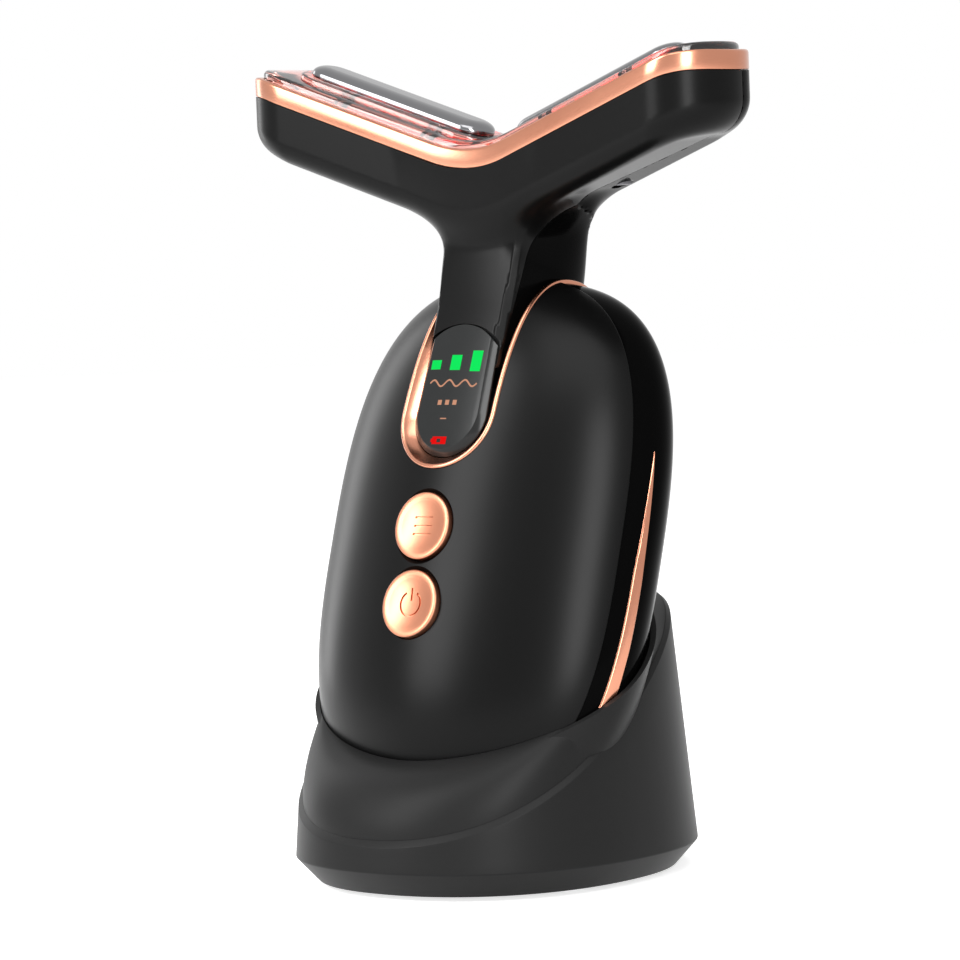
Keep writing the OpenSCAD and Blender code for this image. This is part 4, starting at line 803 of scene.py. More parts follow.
def plan_ring(n, inset, h):
    """Points on the head's plan outline, some way inside it, raised with the V."""
    q = n // 4
    i = np.arange(n)
    part, u = i // q, (i % q) / q
    c, r = 2 * u - 1, END_R - inset
    turn = np.radians(np.where(part == 1, -90, 90) + 180 * u)
    along = ARM_X * spow(c, 1.4)
    x = np.select([part == 0, part == 1, part == 2], [along, ARM_X + r * np.cos(turn), -along],
                  -ARM_X + r * np.cos(turn))
    y = np.select([part == 0, part == 2], [-r + 0 * u, r + 0 * u], r * np.sin(turn))
    return at_head(np.stack([x, sweep_y(x) + y, v_z(x) + h], -1))


def plan_solid(rings):
    """Skin through plan rings, its ends closed by strips from front to back that follow the V."""
    n, m = len(rings[0]), len(rings)
    verts, faces = loft([seated(r) for r in rings], caps=False)
    tip = n * 7 // 8
    for k in range(n // 2):
        a, b, c, d = (tip + k) % n, (tip + k + 1) % n, (tip - k - 1) % n, (tip - k) % n
        strip = (a, b, c) if k == 0 else (a, b, d) if k == n // 2 - 1 else (a, b, c, d)
        faces += [strip, tuple((m - 1) * n + j for j in strip[::-1])]
    return verts, faces


# Everything over the band's lower edge is cut away, and the hollow for the light tray below it. The
# first cutter reaches 14 mm past the outline, to clear the arms' soft upper crease
top = new_piece("over_band", *plan_solid([plan_ring(200, -14, h) for h in (0.0, 30)]))
carve(head_blank, top, smooth=50)
carve(head_blank, new_piece("tray_hollow", *plan_solid([plan_ring(200, 1.8, h) for h in (-6.5, 2)])), smooth=50)

# The parting surface seen from the side, as a wedge in front of it
SEAM_DEPTH = 2.1


def tongue_y(z):
    """Depth of the tongue's leaning face at the height z."""
    return TONGUE_Y + (z - TONGUE_LOW) * tan(TONGUE_SLOPE)


def before_seam(name, shift):
    """Everything in front of the covers' parting line."""
    b, c = [np.array([tongue_y(z) + SEAM_DEPTH, z]) for z in (HEAD_Z - 13, HEAD_Z - 4)]
    d, e = [np.array([-HEAD_FRONT - sin(HEAD_TILT) * v - cos(HEAD_TILT),
                      HEAD_Z + cos(HEAD_TILT) * v - sin(HEAD_TILT)]) for v in (2, 60)]
    line = [np.array([tongue_y(NECK_LOW - 40) + SEAM_DEPTH, NECK_LOW - 40])]
    line += [(1 - u)**2 * b + 2 * u * (1 - u) * c + u * u * d for u in np.linspace(0, 1, 25)] + [e]
    outline = np.array([[q[0] + shift, q[1]] for q in line] + [[-150, e[1]], [-150, line[0][1]]])
    return new_piece(name, *loft([seated(np.insert(outline, 0, x, axis=1)) for x in (-150, 150)]))


def on_head(p):
    """Outward directions of the head's field at points p, and which of them lie on its surface."""
    g = slope(p)
    return g / np.maximum(np.linalg.norm(g, axis=-1, keepdims=True), 1e-6), np.abs(head_field(p)) < 0.03


cover_front = head_blank
cover_rear = head_blank.copy()
cover_rear.data = head_blank.data.copy()
cover_front.name, cover_rear.name = "head_front_satin", "head_rear_gloss"
bpy.context.collection.objects.link(cover_rear)
carve(cover_front, before_seam("front_of_seam", -0.05), "INTERSECT", smooth=50)
carve(cover_rear, before_seam("behind_seam", 0.05), smooth=50)

# ---- Display ------------------------------------------------------------------------------------
# A smoked acrylic window glued into the tongue of the front cover, its edge bevelled all round,
# with the lit marks of a small display showing through it.

DISPLAY_LEN, DISPLAY_T = 22.6, 1.4
TONGUE_TOP_R = 9.0


def tongue_outline(inset, top, n=72):
    """Outline of the tongue in its own face: a round lower end and a shallow arc on top."""
    r = TONGUE_W / 2
    a = np.radians(np.linspace(180, 360, n))
    low = np.stack([(r - inset) * np.cos(a), r + (r - inset) * np.sin(a)], -1)
    x = (r - inset) * (1 - np.linspace(0, 2, n // 2))
    high = np.stack([x, top - TONGUE_TOP_R + np.sqrt(TONGUE_TOP_R**2 - x * x)], -1)
    return np.concatenate([low, high[1:-1]])


def on_tongue(flat, h):
    """Points of the tongue's face, h above the window's own base."""
    x, u = flat[..., 0], flat[..., 1]
    h = h - DISPLAY_T
    s, c = sin(pi / 2 - TONGUE_SLOPE), cos(pi / 2 - TONGUE_SLOPE)
    return seated(np.stack([x, TONGUE_Y + u * c - h * s, TONGUE_LOW + u * s + h * c], -1))


def crown(x):
    """Fall of the face towards its sides."""
    return CROWN * (x / (TONGUE_W / 2))**2


# The pocket that the window lies in runs out past the tongue's sides
pocket = tongue_outline(-0.05, DISPLAY_LEN + 0.1) * [1.15, 1.0]
pocket_block = new_piece("window_pocket", *loft([on_tongue(pocket, h + 0 * pocket[:, 0]) for h in (0.0, 4.0)]))
carve(cover_front, pocket_block, smooth=50)
shade_by(cover_front, on_head)
shade_by(cover_rear, on_head)
place(cover_front, "handset", "head_front_cover", front_abs)

# Under each arm a hole over the cover's screw takes a grey press-in plug
PLUG_R, PLUG_GAP, PLUG_X, PLUG_Y, PLUG_UP = 1.8, 0.05, 22.0, 3.6, 0.6


def plug_place(side):
    """Middle of a plug's face on the arm's underside, and its outward direction."""
    x = np.array(side * PLUG_X)
    foot = at_head(np.array([float(x), float(sweep_y(x)) + PLUG_Y, float(v_z(x)) - ARM_H + PLUG_UP]))
    return foot, at_head(np.array([side * sin(ARM_RISE), 0, -cos(ARM_RISE)])) - at_head(np.zeros(3))


for side in (-1, 1):
    plug_hole = lathe("plug_hole", [(PLUG_R + PLUG_GAP, -3.0), (PLUG_R + PLUG_GAP, 1.2)], *plug_place(side), 48)
    carve(cover_rear, plug_hole, smooth=50)
place(cover_rear, "handset", "head_rear_cover", rear_abs)

# Smoked acrylic: a dark see-in sheet with a hard flat shine; its polish leaves almost no texture
smoked = new_material("smoked_acrylic_polished")
where = add(smoked, "TexCoord")
wipe = add(smoked, "TexNoise", {"Scale": grain_scale(6), "Detail": 3.0}, {"Vector": (where, "Object")})
sheen = add(smoked, "MapRange", {"From Min": 0.3, "From Max": 0.7, "To Min": 0.16, "To Max": 0.22},
            {"Value": (wipe, "Fac")})
body = add(smoked, "BsdfPrincipled",
           {"Base Color": srgb("#1d1e1e"), "IOR": 1.49, "Specular IOR Level": 0.12,
            "Coat Weight": 0.12, "Coat Roughness": 0.05, "Coat IOR": 1.49}, {"Roughness": (sheen, "Result")})
add(smoked, "OutputMaterial", None, {"Surface": (body, "BSDF")})

# The window's straight edge, its bevel, and rings that draw in over the crowned face
levels = [(0.0, 0.02), (0.0, DISPLAY_T - 1.02), (0.08, DISPLAY_T - 0.9), (0.98, DISPLAY_T - 0.07), (1.12, DISPLAY_T)]
levels += [(t, DISPLAY_T) for t in np.linspace(1.3, 7.0, 12)]
rings = []
for inset, h in levels:
    flat = tongue_outline(inset, DISPLAY_LEN - 0.03)
    if inset > 1.3:
        flat[:, 1] = DISPLAY_LEN / 2 + (flat[:, 1] - DISPLAY_LEN / 2) * (1 - (inset - 1.12) / 7.2)
    rings.append(on_tongue(flat, h - (crown(flat[:, 0]) if h == DISPLAY_T else crown(flat[:, 0]) * min(1, h))))
window_piece = new_piece("display_window_smoked", *loft(rings), smooth=20)
place(window_piece, "handset", "display_window", smoked)

# The lit marks lie on the window as a printed mask shows them: level bars, generic mode marks in
# place of words, a dash and the battery sign, each a thin film of its own colour
MARKS = {"bars": "#12f262", "modes": "#e0a283", "battery": "#f01010"}
FILM = 0.012


def mark_patch(x0, x1, z0, z1, cuts=8):
    """Corners and faces of a small upright patch that follows the window's crown."""
    x = np.linspace(x0, x1, cuts)
    flat = np.array([[v, (z - TONGUE_LOW) / cos(TONGUE_SLOPE)] for z in (z0, z1) for v in x])
    p = on_tongue(flat, DISPLAY_T - crown(flat[:, 0]) + FILM)
    return p, [(i, i + 1, cuts + i + 1, cuts + i) for i in range(cuts - 1)]


def mark_line(points, width):
    """Corners and faces of a drawn line of even width in the window's face."""
    points = np.array(points, float)
    way = np.gradient(points, axis=0)
    way /= np.linalg.norm(way, axis=-1, keepdims=True)
    across = np.stack([-way[:, 1], way[:, 0]], -1) * width / 2
    flat = np.concatenate([points + across, points - across])
    flat = np.stack([flat[:, 0], (flat[:, 1] - TONGUE_LOW) / cos(TONGUE_SLOPE)], -1)
    n = len(points)
    p = on_tongue(flat, DISPLAY_T - crown(flat[:, 0]) + FILM)
    return p, [(i, i + 1, n + i + 1, n + i) for i in range(n - 1)]


def marks_piece(name, parts, hex_colour, strength):
    """One group of marks as its own film: light of one even colour, a little uneven from cell to cell."""
    verts, faces = [], []
    for p, f in parts:
        faces += [tuple(i + len(verts) for i in face) for face in f]
        verts += p.tolist()
    mesh = bpy.data.meshes.new(name)
    mesh.from_pydata((np.array(verts) / 1000).tolist(), [], faces)
    piece = bpy.data.objects.new(name, mesh)
    bpy.context.collection.objects.link(piece)
    mat = new_material(name + "_lit")
    where = add(mat, "TexCoord")
    cell = add(mat, "TexNoise", {"Scale": grain_scale(1.5)}, {"Vector": (where, "Object")})
    level = add(mat, "MapRange", {"To Min": 0.92 * strength, "To Max": 1.04 * strength}, {"Value": (cell, "Fac")})
    body = add(mat, "BsdfPrincipled", {"Base Color": srgb("#020202"), "Roughness": 0.5, "Specular IOR Level": 0.0,
                                       "Emission Color": srgb(hex_colour)}, {"Emission Strength": (level, "Result")})
    add(mat, "OutputMaterial", None, {"Surface": (body, "BSDF")})
    mesh.materials.append(mat)
    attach(piece, "handset")


bars = [mark_patch(-5.5, -3.4, 72.9, 74.5), mark_patch(-1.3, 0.9, 72.75, 75.35), mark_patch(3.0, 5.1, 72.55, 76.1)]
marks_piece("display_level_bars", bars, MARKS["bars"], 0.95)
modes = [mark_line([(-5.0 + 10 * u, 70.5 + 0.55 * sin(u * 6 * pi)) for u in np.linspace(0, 1, 40)], 0.3)]
modes += [mark_patch(x - 0.42, x + 0.42, 66.75, 67.6) for x in (-2.0, -0.4, 1.2)]
modes += [mark_patch(-1.2, 0.1, 64.3, 64.5)]
marks_piece("display_mode_marks", modes, MARKS["modes"], 0.85)
battery = [mark_patch(-2.0, -1.0, 60.0, 61.3), mark_patch(-0.2, 1.0, 60.0, 61.3),
           mark_patch(-2.3, -2.0, 60.35, 60.95, 3),
           mark_patch(-1.0, -0.2, 60.95, 61.3), mark_patch(-1.0, -0.2, 60.0, 60.3)]
marks_piece("display_battery_mark", battery, MARKS["battery"], 0.95)

# The display module behind the window: a glass cell on a green board, hidden in use; it gives the
# eye a deep bottle green with soft patches
cell_glass = new_material("display_cell_green")
where = add(cell_glass, "TexCoord")
tint = add(cell_glass, "TexNoise", {"Scale": grain_scale(5)}, {"Vector": (where, "Object")})
shade = add(cell_glass, "ValToRGB", None, {"Fac": (tint, "Fac")})
shade.color_ramp.elements[0].color, shade.color_ramp.elements[1].color = srgb("#16301f"), srgb("#24452f")
body = add(cell_glass, "BsdfPrincipled", {"Roughness": 0.25}, {"Base Color": (shade, "Color")})
add(cell_glass, "OutputMaterial", None, {"Surface": (body, "BSDF")})
dress("display_module", cell_glass)

# ---- Trim band ----------------------------------------------------------------------------------
# A thin hoop round the top of the head, pressed from brass strip and plated like the loop; its
# broad face is buffed along its length and its edges are just broken.

BAND_N = 400
band_profile = [(0.12, 0.1), (0.03, 0.16), (0.0, 0.3), (0.0, BAND_H - 0.55), (0.05, BAND_H - 0.32),
                (0.17, BAND_H - 0.14), (0.35, BAND_H - 0.03), (0.55, BAND_H), (BAND_T - 0.3, BAND_H),
                (BAND_T - 0.08, BAND_H - 0.1), (BAND_T, BAND_H - 0.3), (BAND_T, 0.1)]
band_edges = [plan_ring(BAND_N, inset, h) for inset, h in band_profile]
band_rings = [seated(np.array([edge[k] for edge in band_edges])) for k in range(BAND_N)]
band = new_piece("trim_band_plated", *loft(band_rings, closed=True), smooth=38)
place(band, "handset", "head_trim_band", rose_plate)

# ---- Light tray, boards and diodes --------------------------------------------------------------
# Under the window lies a moulded tray; in each arm it holds a white circuit board with two rows
# of red surface-mounted diodes.

# Dull red ABS: it soaks up the diodes' light and shows as the warm ground under the clear window.
# Its 0.1 mm grit is drawn at 0.4 mm.
tray_abs = new_material("moulded_abs_tray")
where = add(tray_abs, "TexCoord")
grain = add(tray_abs, "TexNoise", {"Scale": grain_scale(0.4)}, {"Vector": (where, "Object")})
bump = add(tray_abs, "Bump", {"Strength": 0.2, "Distance": 0.00004}, {"Height": (grain, "Fac")})
body = add(tray_abs, "BsdfPrincipled", {"Base Color": srgb("#b5564c"), "Roughness": 0.3, "IOR": 1.54},
           {"Normal": (bump, "Normal")})
add(tray_abs, "OutputMaterial", None, {"Surface": (body, "BSDF")})
dress("light_tray", tray_abs)

# White solder mask over glass-fibre laminate: the weave below prints through faintly. A wave
# repeats after 2 pi / 20 of its unit; the glass's 0.5 mm weave is drawn at 1.6 mm.
mask_white = new_material("white_solder_mask")
where = add(mask_white, "TexCoord")
weave = add(mask_white, "TexWave", {"Scale": 2 * pi / 20 * 1000 / 1.6, "Distortion": 0.4},
            {"Vector": (where, "Object")})
bump = add(mask_white, "Bump", {"Strength": 0.1, "Distance": 0.00002}, {"Height": (weave, "Fac")})
body = add(mask_white, "BsdfPrincipled", {"Base Color": srgb("#dfe3df"), "Roughness": 0.4},
           {"Normal": (bump, "Normal")})
add(mask_white, "OutputMaterial", None, {"Surface": (body, "BSDF")})
for name in ("light_board_left", "light_board_right"):
    dress(name, mask_white)

# Red diodes: clear red epoxy over a lit die, brightest in the middle of each body. The cells that
# carry the glow are half of a diode's 3 mm.
diode_red = new_material("red_diode_epoxy")
where = add(diode_red, "TexCoord")
die = add(diode_red, "TexVoronoi", {"Scale": 1000 / 3.0 / 2}, {"Vector": (where, "Object")})
glow = add(diode_red, "MapRange", {"From Min": 0.0, "From Max": 0.8, "To Min": 8.0, "To Max": 2.0},
           {"Value": (die, "Distance")})
body = add(diode_red, "BsdfPrincipled",
           {"Base Color": srgb("#c8141a"), "Roughness": 0.25, "Emission Color": srgb("#ff1a1e")},
           {"Emission Strength": (glow, "Result")})
add(diode_red, "OutputMaterial", None, {"Surface": (body, "BSDF")})
dress("light_diodes", diode_red)

# ---- Clear window -------------------------------------------------------------------------------
# One clear polycarbonate moulding, 1.5 mm thick, with a raised pad in each arm that the electrode
# bar sits on. It shows the red light of the diodes in all its edges.

WINDOW_IN, WINDOW_TOP, WINDOW_WALL, WINDOW_ROUND = BAND_T + 0.1, BAND_H + WINDOW_RISE, 1.5, 0.9
PAD_RISE, PAD_RIM, ELECTRODE_LEN, ELECTRODE_W, ELECTRODE_RISE = 0.8, 1.8, 38.0, 8.0, 1.9
ARM_MID = ARM_X * 0.56
WINDOW_N = 240
outer = [(WINDOW_IN, 0.7), (WINDOW_IN, WINDOW_TOP - WINDOW_ROUND)]
outer += [(WINDOW_IN + WINDOW_ROUND * (1 - cos(u)), WINDOW_TOP - WINDOW_ROUND + WINDOW_ROUND * sin(u))
          for u in np.radians([15, 30, 45, 60, 75, 90])]
clear = new_piece("clear_window", *plan_solid([plan_ring(WINDOW_N, t, h) for t, h in outer]), smooth=40)
inner_in, inner_top = WINDOW_IN + WINDOW_WALL, WINDOW_TOP - WINDOW_WALL
hollow = [(inner_in, -0.3), (inner_in, inner_top - 0.3), (inner_in + 0.3, inner_top)]


def at_arm(p, side, h):
    """Points drawn flat round the middle of an electrode brought to its arm, h over the V."""
    p = np.asarray(p, float)
    turn, tilt = -side * atan(ARM_SWEEP * cos(ARM_RISE)), side * ARM_RISE
    x, y = p[..., 0] * cos(turn) - p[..., 1] * sin(turn), p[..., 0] * sin(turn) + p[..., 1] * cos(turn)
    z = p[..., 2]
    x, z = x * cos(tilt) - z * sin(tilt), x * sin(tilt) + z * cos(tilt)
    mid = np.array(side * ARM_MID)
    return seated(at_head(np.stack([x + float(mid), y + float(sweep_y(mid)), z + float(v_z(mid)) + h], -1)))


def bar_outline(length, width, inset, h, n=112):
    """Ring of a bar with round ends at the height h."""
    a = np.radians((np.arange(n) + 0.5) * 360 / n)
    r = width / 2
    x = np.sign(np.cos(a)) * (length / 2 - r) + (r - inset) * np.cos(a)
    return np.stack([x, (r - inset) * np.sin(a), h + 0 * a], -1)


for side in (-1, 1):
    pad = [(0.0, -1.2), (0.0, PAD_RISE - 0.45), (0.06, PAD_RISE - 0.25), (0.2, PAD_RISE - 0.08), (0.45, PAD_RISE)]
    pad = [at_arm(bar_outline(ELECTRODE_LEN + 2 * PAD_RIM, ELECTRODE_W + 2 * PAD_RIM, t, h), side, WINDOW_TOP)
           for t, h in pad]
    carve(clear, new_piece("pad", *loft(pad)), "UNION", smooth=40)
carve(clear, new_piece("window_hollow", *plan_solid([plan_ring(WINDOW_N, t, h) for t, h in hollow])), smooth=40)

# Clear polycarbonate: glassy and sharp at its edges, blushed pink by the diodes' light inside it, with
# the slow waves that the melt leaves as it flows, 7 mm apart
clear_pc = new_material("clear_polycarbonate_moulded")
where = add(clear_pc, "TexCoord")
flow = add(clear_pc, "TexNoise", {"Scale": grain_scale(7), "Detail": 2.0}, {"Vector": (where, "Object")})
bump = add(clear_pc, "Bump", {"Strength": 0.15, "Distance": 0.0004}, {"Height": (flow, "Fac")})
body = add(clear_pc, "BsdfPrincipled",
           {"Base Color": srgb("#ffb6aa"), "Roughness": 0.04, "IOR": 1.58, "Transmission Weight": 1.0},
           {"Normal": (bump, "Normal")})
add(clear_pc, "OutputMaterial", None, {"Surface": (body, "BSDF")})
place(clear, "handset", "light_window", clear_pc)

# ---- Electrodes ---------------------------------------------------------------------------------
# Two solid stainless bars with full round ends, polished to a soft mirror and held by two pins
# each that run down through the window.

# Polished stainless steel: a near mirror, its buffing wheel's lines running across the bar. Real
# lines are finer; they are drawn at 0.25 mm.
steel_bar = new_material("polished_stainless_steel")
where = add(steel_bar, "TexCoord")
stretch = add(steel_bar, "Mapping", {"Scale": (0.08, 1.0, 1.0)}, {"Vector": (where, "Object")})
lines = add(steel_bar, "TexNoise", {"Scale": grain_scale(0.25), "Detail": 2.0}, {"Vector": (stretch, "Vector")})
sheen = add(steel_bar, "MapRange", {"From Min": 0.3, "From Max": 0.7, "To Min": 0.12, "To Max": 0.17},
            {"Value": (lines, "Fac")})
bump = add(steel_bar, "Bump", {"Strength": 0.03, "Distance": 0.00003}, {"Height": (lines, "Fac")})
body = add(steel_bar, "BsdfPrincipled", {"Base Color": srgb("#7c7c7e"), "Metallic": 1.0},
           {"Roughness": (sheen, "Result"), "Normal": (bump, "Normal")})
add(steel_bar, "OutputMaterial", None, {"Surface": (body, "BSDF")})

# A straight side, a dome that takes up part of the half width, and a flat crown; the pins end just
# over the light boards
SIDE_H, DOME, PIN_R = 0.4, 0.72, 1.5
PIN_LOW = (-1.6 - WINDOW_TOP) * cos(ARM_RISE) + 1.02
for side, name in ((-1, "electrode_left"), (1, "electrode_right")):
    r = ELECTRODE_W / 2
    base = PAD_RISE + 0.02
    levels = [(0.1, base), (0.0, base + 0.1), (0.0, base + SIDE_H)]
    levels += [(r * DOME * (1 - cos(a)), base + SIDE_H + (ELECTRODE_RISE - SIDE_H) * sin(a))
               for a in np.radians(np.linspace(6, 84, 14))]
    levels += [(r * (DOME + 0.27 * v), base + ELECTRODE_RISE - 0.006 + 0.006 * v) for v in (0.0, 0.25, 0.5, 0.75, 1.0)]
    bar = [at_arm(bar_outline(ELECTRODE_LEN, ELECTRODE_W, t, h), side, WINDOW_TOP) for t, h in levels]
    bar = new_piece(name + "_bar", *loft(bar), smooth=60)
    for u in (-1, 1):
        a = np.radians(np.linspace(0, 360, 40, endpoint=False))
        pin = [np.stack([u * ELECTRODE_LEN / 4 + PIN_R * np.cos(a), PIN_R * np.sin(a), h + 0 * a], -1)
               for h in (PIN_LOW, base + 0.2)]
        carve(bar, new_piece("pin", *loft([at_arm(ring, side, WINDOW_TOP) for ring in pin])), "UNION", smooth=60)
    place(bar, "handset", name, steel_bar)

# ---- Screw plugs --------------------------------------------------------------------------------
# Small grey plugs pressed over the two screws under the arms: moulded polyamide, slightly matt.

# Grey polyamide: flat and slightly chalky, its 0.1 mm grit drawn at 0.3 mm
plug_pa = new_material("moulded_polyamide_grey")
where = add(plug_pa, "TexCoord")
grain = add(plug_pa, "TexNoise", {"Scale": grain_scale(0.3)}, {"Vector": (where, "Object")})
bump = add(plug_pa, "Bump", {"Strength": 0.2, "Distance": 0.00003}, {"Height": (grain, "Fac")})
body = add(plug_pa, "BsdfPrincipled", {"Base Color": srgb("#77767a"), "Roughness": 0.42, "IOR": 1.53},
           {"Normal": (bump, "Normal")})
add(plug_pa, "OutputMaterial", None, {"Surface": (body, "BSDF")})
plugs = None
for side in (-1, 1):
    face = [(PLUG_R, -1.5), (PLUG_R, -0.1), (PLUG_R - 0.08, 0.02), (PLUG_R - 0.25, 0.09), (0.4, 0.1)]
    plug = lathe("screw_plug", face, *plug_place(side), 56)
    plugs = carve(plugs, plug, "UNION") if plugs else plug
plugs.name = "screw_plugs_grey"
place(plugs, "handset", "head_screw_plugs", plug_pa)

# ---- Buttons ------------------------------------------------------------------------------------
# Two keys turned from ABS and plated rose gold: a flat rim round a dished middle, with the power
# sign on the lower one and three plain bars on the upper one sunk into the dish.

# Satin rose-gold plate: the same skin as the band over a finely blasted key, so it glows evenly
# and shows soft shades instead of a mirror. The blast's 0.05 mm pits are drawn at 0.2 mm.
key_plate = new_material("electroplated_rose_gold_satin")
where = add(key_plate, "TexCoord")
grain = add(key_plate, "TexNoise", {"Scale": grain_scale(0.2), "Detail": 2.0}, {"Vector": (where, "Object")})
cloud = add(key_plate, "TexNoise", {"Scale": grain_scale(5), "Detail": 3.0}, {"Vector": (where, "Object")})
sheen = add(key_plate, "MapRange", {"From Min": 0.3, "From Max": 0.7, "To Min": 0.29, "To Max": 0.35},
            {"Value": (cloud, "Fac")})
bump = add(key_plate, "Bump", {"Strength": 0.05, "Distance": 0.00003}, {"Height": (grain, "Fac")})
body = add(key_plate, "BsdfPrincipled", {"Base Color": srgb("#c28266"), "Metallic": 1.0},
           {"Roughness": (sheen, "Result"), "Normal": (bump, "Normal")})
add(key_plate, "OutputMaterial", None, {"Surface": (body, "BSDF")})

DISH, DISH_R = 0.6, BUTTON_R - 1.1
BALL = (DISH_R**2 + DISH**2) / (2 * DISH)
# The flange's rim stops behind the shell's wall, and the stem before the push switch on the board
FLANGE_R, FLANGE_T, STEM_R, GROOVE_W, GROOVE_DEEP = BUTTON_R + 0.5, 1, 2, 0.44, 0.3
BOARD_Y, SWITCH_H, TRAVEL, PLUNGER_ROOM = -9, 3.1, 0.6, 0.7
inner_share = float(share(BUTTONS["power_button"], SHELL_WALL))
across = 6.2 / ((BODY_W / 2 - SHELL_WALL) * inner_share)
FLANGE_Y = -(BODY_FRONT - SHELL_WALL) * inner_share * (1 - across**SECTION_POWER)**(1 / SECTION_POWER) + 0.3
STEM_END = BOARD_Y - SWITCH_H - TRAVEL - PLUNGER_ROOM


def dish_depth(r):
    """Depth of the dish's ball face below the rim at the radius r."""
    return DISH - (BALL - sqrt(BALL**2 - r * r))


def groove(z, points):
    """Cutter for a sunk line in a key's dish, along points of its face."""
    points = np.array(points, float)
    way = np.gradient(points, axis=0)
    way /= np.linalg.norm(way, axis=-1, keepdims=True)
    across = np.stack([-way[:, 1], way[:, 0]], -1)
    rings = []
    for p, n in zip(points, across):
        d = dish_depth(sqrt(p @ p)) if p @ p < DISH_R**2 else 0
        corners = [(s * GROOVE_W / 2, e) for s, e in ((-1, -0.6), (1, -0.6), (0.7, GROOVE_DEEP), (-0.7, GROOVE_DEEP))]
        ring = [[p[0] + n[0] * s, BUTTON_FACE + d + e, z + p[1] + n[1] * s] for s, e in corners]
        rings.append(seated(np.array(ring)))
    return new_piece("sign", *loft(rings))


power_sign = [[(2.05 * cos(t), -2.05 * sin(t)) for t in np.radians(np.linspace(-58, 238, 60))],
              [(0, v) for v in np.linspace(0.5, 2.6, 6)]]
mode_bars = [[(v, h) for v in np.linspace(-1.9, 1.9, 10)] for h in (-1.4, 0.0, 1.4)]
for name, z in BUTTONS.items():
    deep = FLANGE_Y - BUTTON_FACE
    dish = [(DISH_R * v, dish_depth(DISH_R * v)) for v in np.linspace(0, 1, 22)]
    profile = dish[:-1] + [(DISH_R + 0.03, 0.03), (DISH_R + 0.12, 0.0), (BUTTON_R - 0.4, 0.0), (BUTTON_R - 0.2, 0.03),
                           (BUTTON_R - 0.06, 0.15), (BUTTON_R, 0.38), (BUTTON_R, deep), (FLANGE_R, deep),
                           (FLANGE_R, deep + FLANGE_T), (STEM_R, deep + FLANGE_T), (STEM_R, STEM_END - BUTTON_FACE)]
    key = lathe(name + "_key", profile, np.array([0, BUTTON_FACE, z]), (0, 1, 0), 128, smooth=40)
    for line in (power_sign if name == "power_button" else mode_bars):
        carve(key, groove(z, line), smooth=40)
    place(key, "mode_key" if name == "mode_button" else "power_key", name, key_plate)

# ---- Inside the handset -------------------------------------------------------------------------
# The black frame carries everything: the board with the two push switches in front, the cell and
# the vibration motor behind, held by four screws from the rear.

# Glass-filled polyamide: matt black, its short fibres just showing as paler flecks 0.6 mm long
frame_pa = new_material("glass_filled_polyamide")
where = add(frame_pa, "TexCoord")
fibre = add(frame_pa, "TexNoise", {"Scale": grain_scale(0.6), "Detail": 4.0, "Roughness": 0.8},
            {"Vector": (where, "Object")})
shade = add(frame_pa, "ValToRGB", None, {"Fac": (fibre, "Fac")})
shade.color_ramp.elements[0].color, shade.color_ramp.elements[1].color = srgb("#1c1c1d"), srgb("#3a3a3b")
body = add(frame_pa, "BsdfPrincipled", {"Roughness": 0.55, "IOR": 1.53}, {"Base Color": (shade, "Color")})
add(frame_pa, "OutputMaterial", None, {"Surface": (body, "BSDF")})
for name in ("inner_frame", "mode_plunger", "power_plunger", "pin_block"):
    dress(name, frame_pa)

# Green solder mask with the copper tracks' paler shapes under it, in fields of 2 mm by 1 mm
mask_green = new_material("green_solder_mask")
where = add(mask_green, "TexCoord")
tracks = add(mask_green, "TexBrick", {"Scale": 1000 / 4.0, "Color1": srgb("#1f5a3c"), "Color2": srgb("#1a4e34"),
                                      "Mortar": srgb("#2c7350"), "Mortar Size": 0.06}, {"Vector": (where, "Object")})
body = add(mask_green, "BsdfPrincipled", {"Roughness": 0.35}, {"Base Color": (tracks, "Color")})
add(mask_green, "OutputMaterial", None, {"Surface": (body, "BSDF")})
for name in ("main_board", "dock_board"):
    dress(name, mask_green)

# Rolled steel, nickel plated: bright with a grey cast and the marks of the rolls
nickel = new_material("nickel_plated_steel")
where = add(nickel, "TexCoord")
rolls = add(nickel, "TexNoise", {"Scale": grain_scale(1.2), "Detail": 3.0}, {"Vector": (where, "Object")})
sheen = add(nickel, "MapRange", {"To Min": 0.22, "To Max": 0.36}, {"Value": (rolls, "Fac")})
body = add(nickel, "BsdfPrincipled", {"Base Color": srgb("#b9bbbe"), "Metallic": 1.0},
           {"Roughness": (sheen, "Result")})
add(nickel, "OutputMaterial", None, {"Surface": (body, "BSDF")})
for name in ("push_switches", "motor_case", "frame_screws", "dock_screws", "charging_socket"):
    dress(name, nickel)

# Aluminium-laminate pouch: soft creases in a dull metal foil
foil = new_material("laminated_aluminium_foil")
where = add(foil, "TexCoord")
crease = add(foil, "TexNoise", {"Scale": grain_scale(6), "Detail": 4.0}, {"Vector": (where, "Object")})
bump = add(foil, "Bump", {"Strength": 0.5, "Distance": 0.0003}, {"Height": (crease, "Fac")})
body = add(foil, "BsdfPrincipled", {"Base Color": srgb("#b9bcc0"), "Metallic": 1.0, "Roughness": 0.4},
           {"Normal": (bump, "Normal")})
add(foil, "OutputMaterial", None, {"Surface": (body, "BSDF")})
dress("battery_cell", foil)

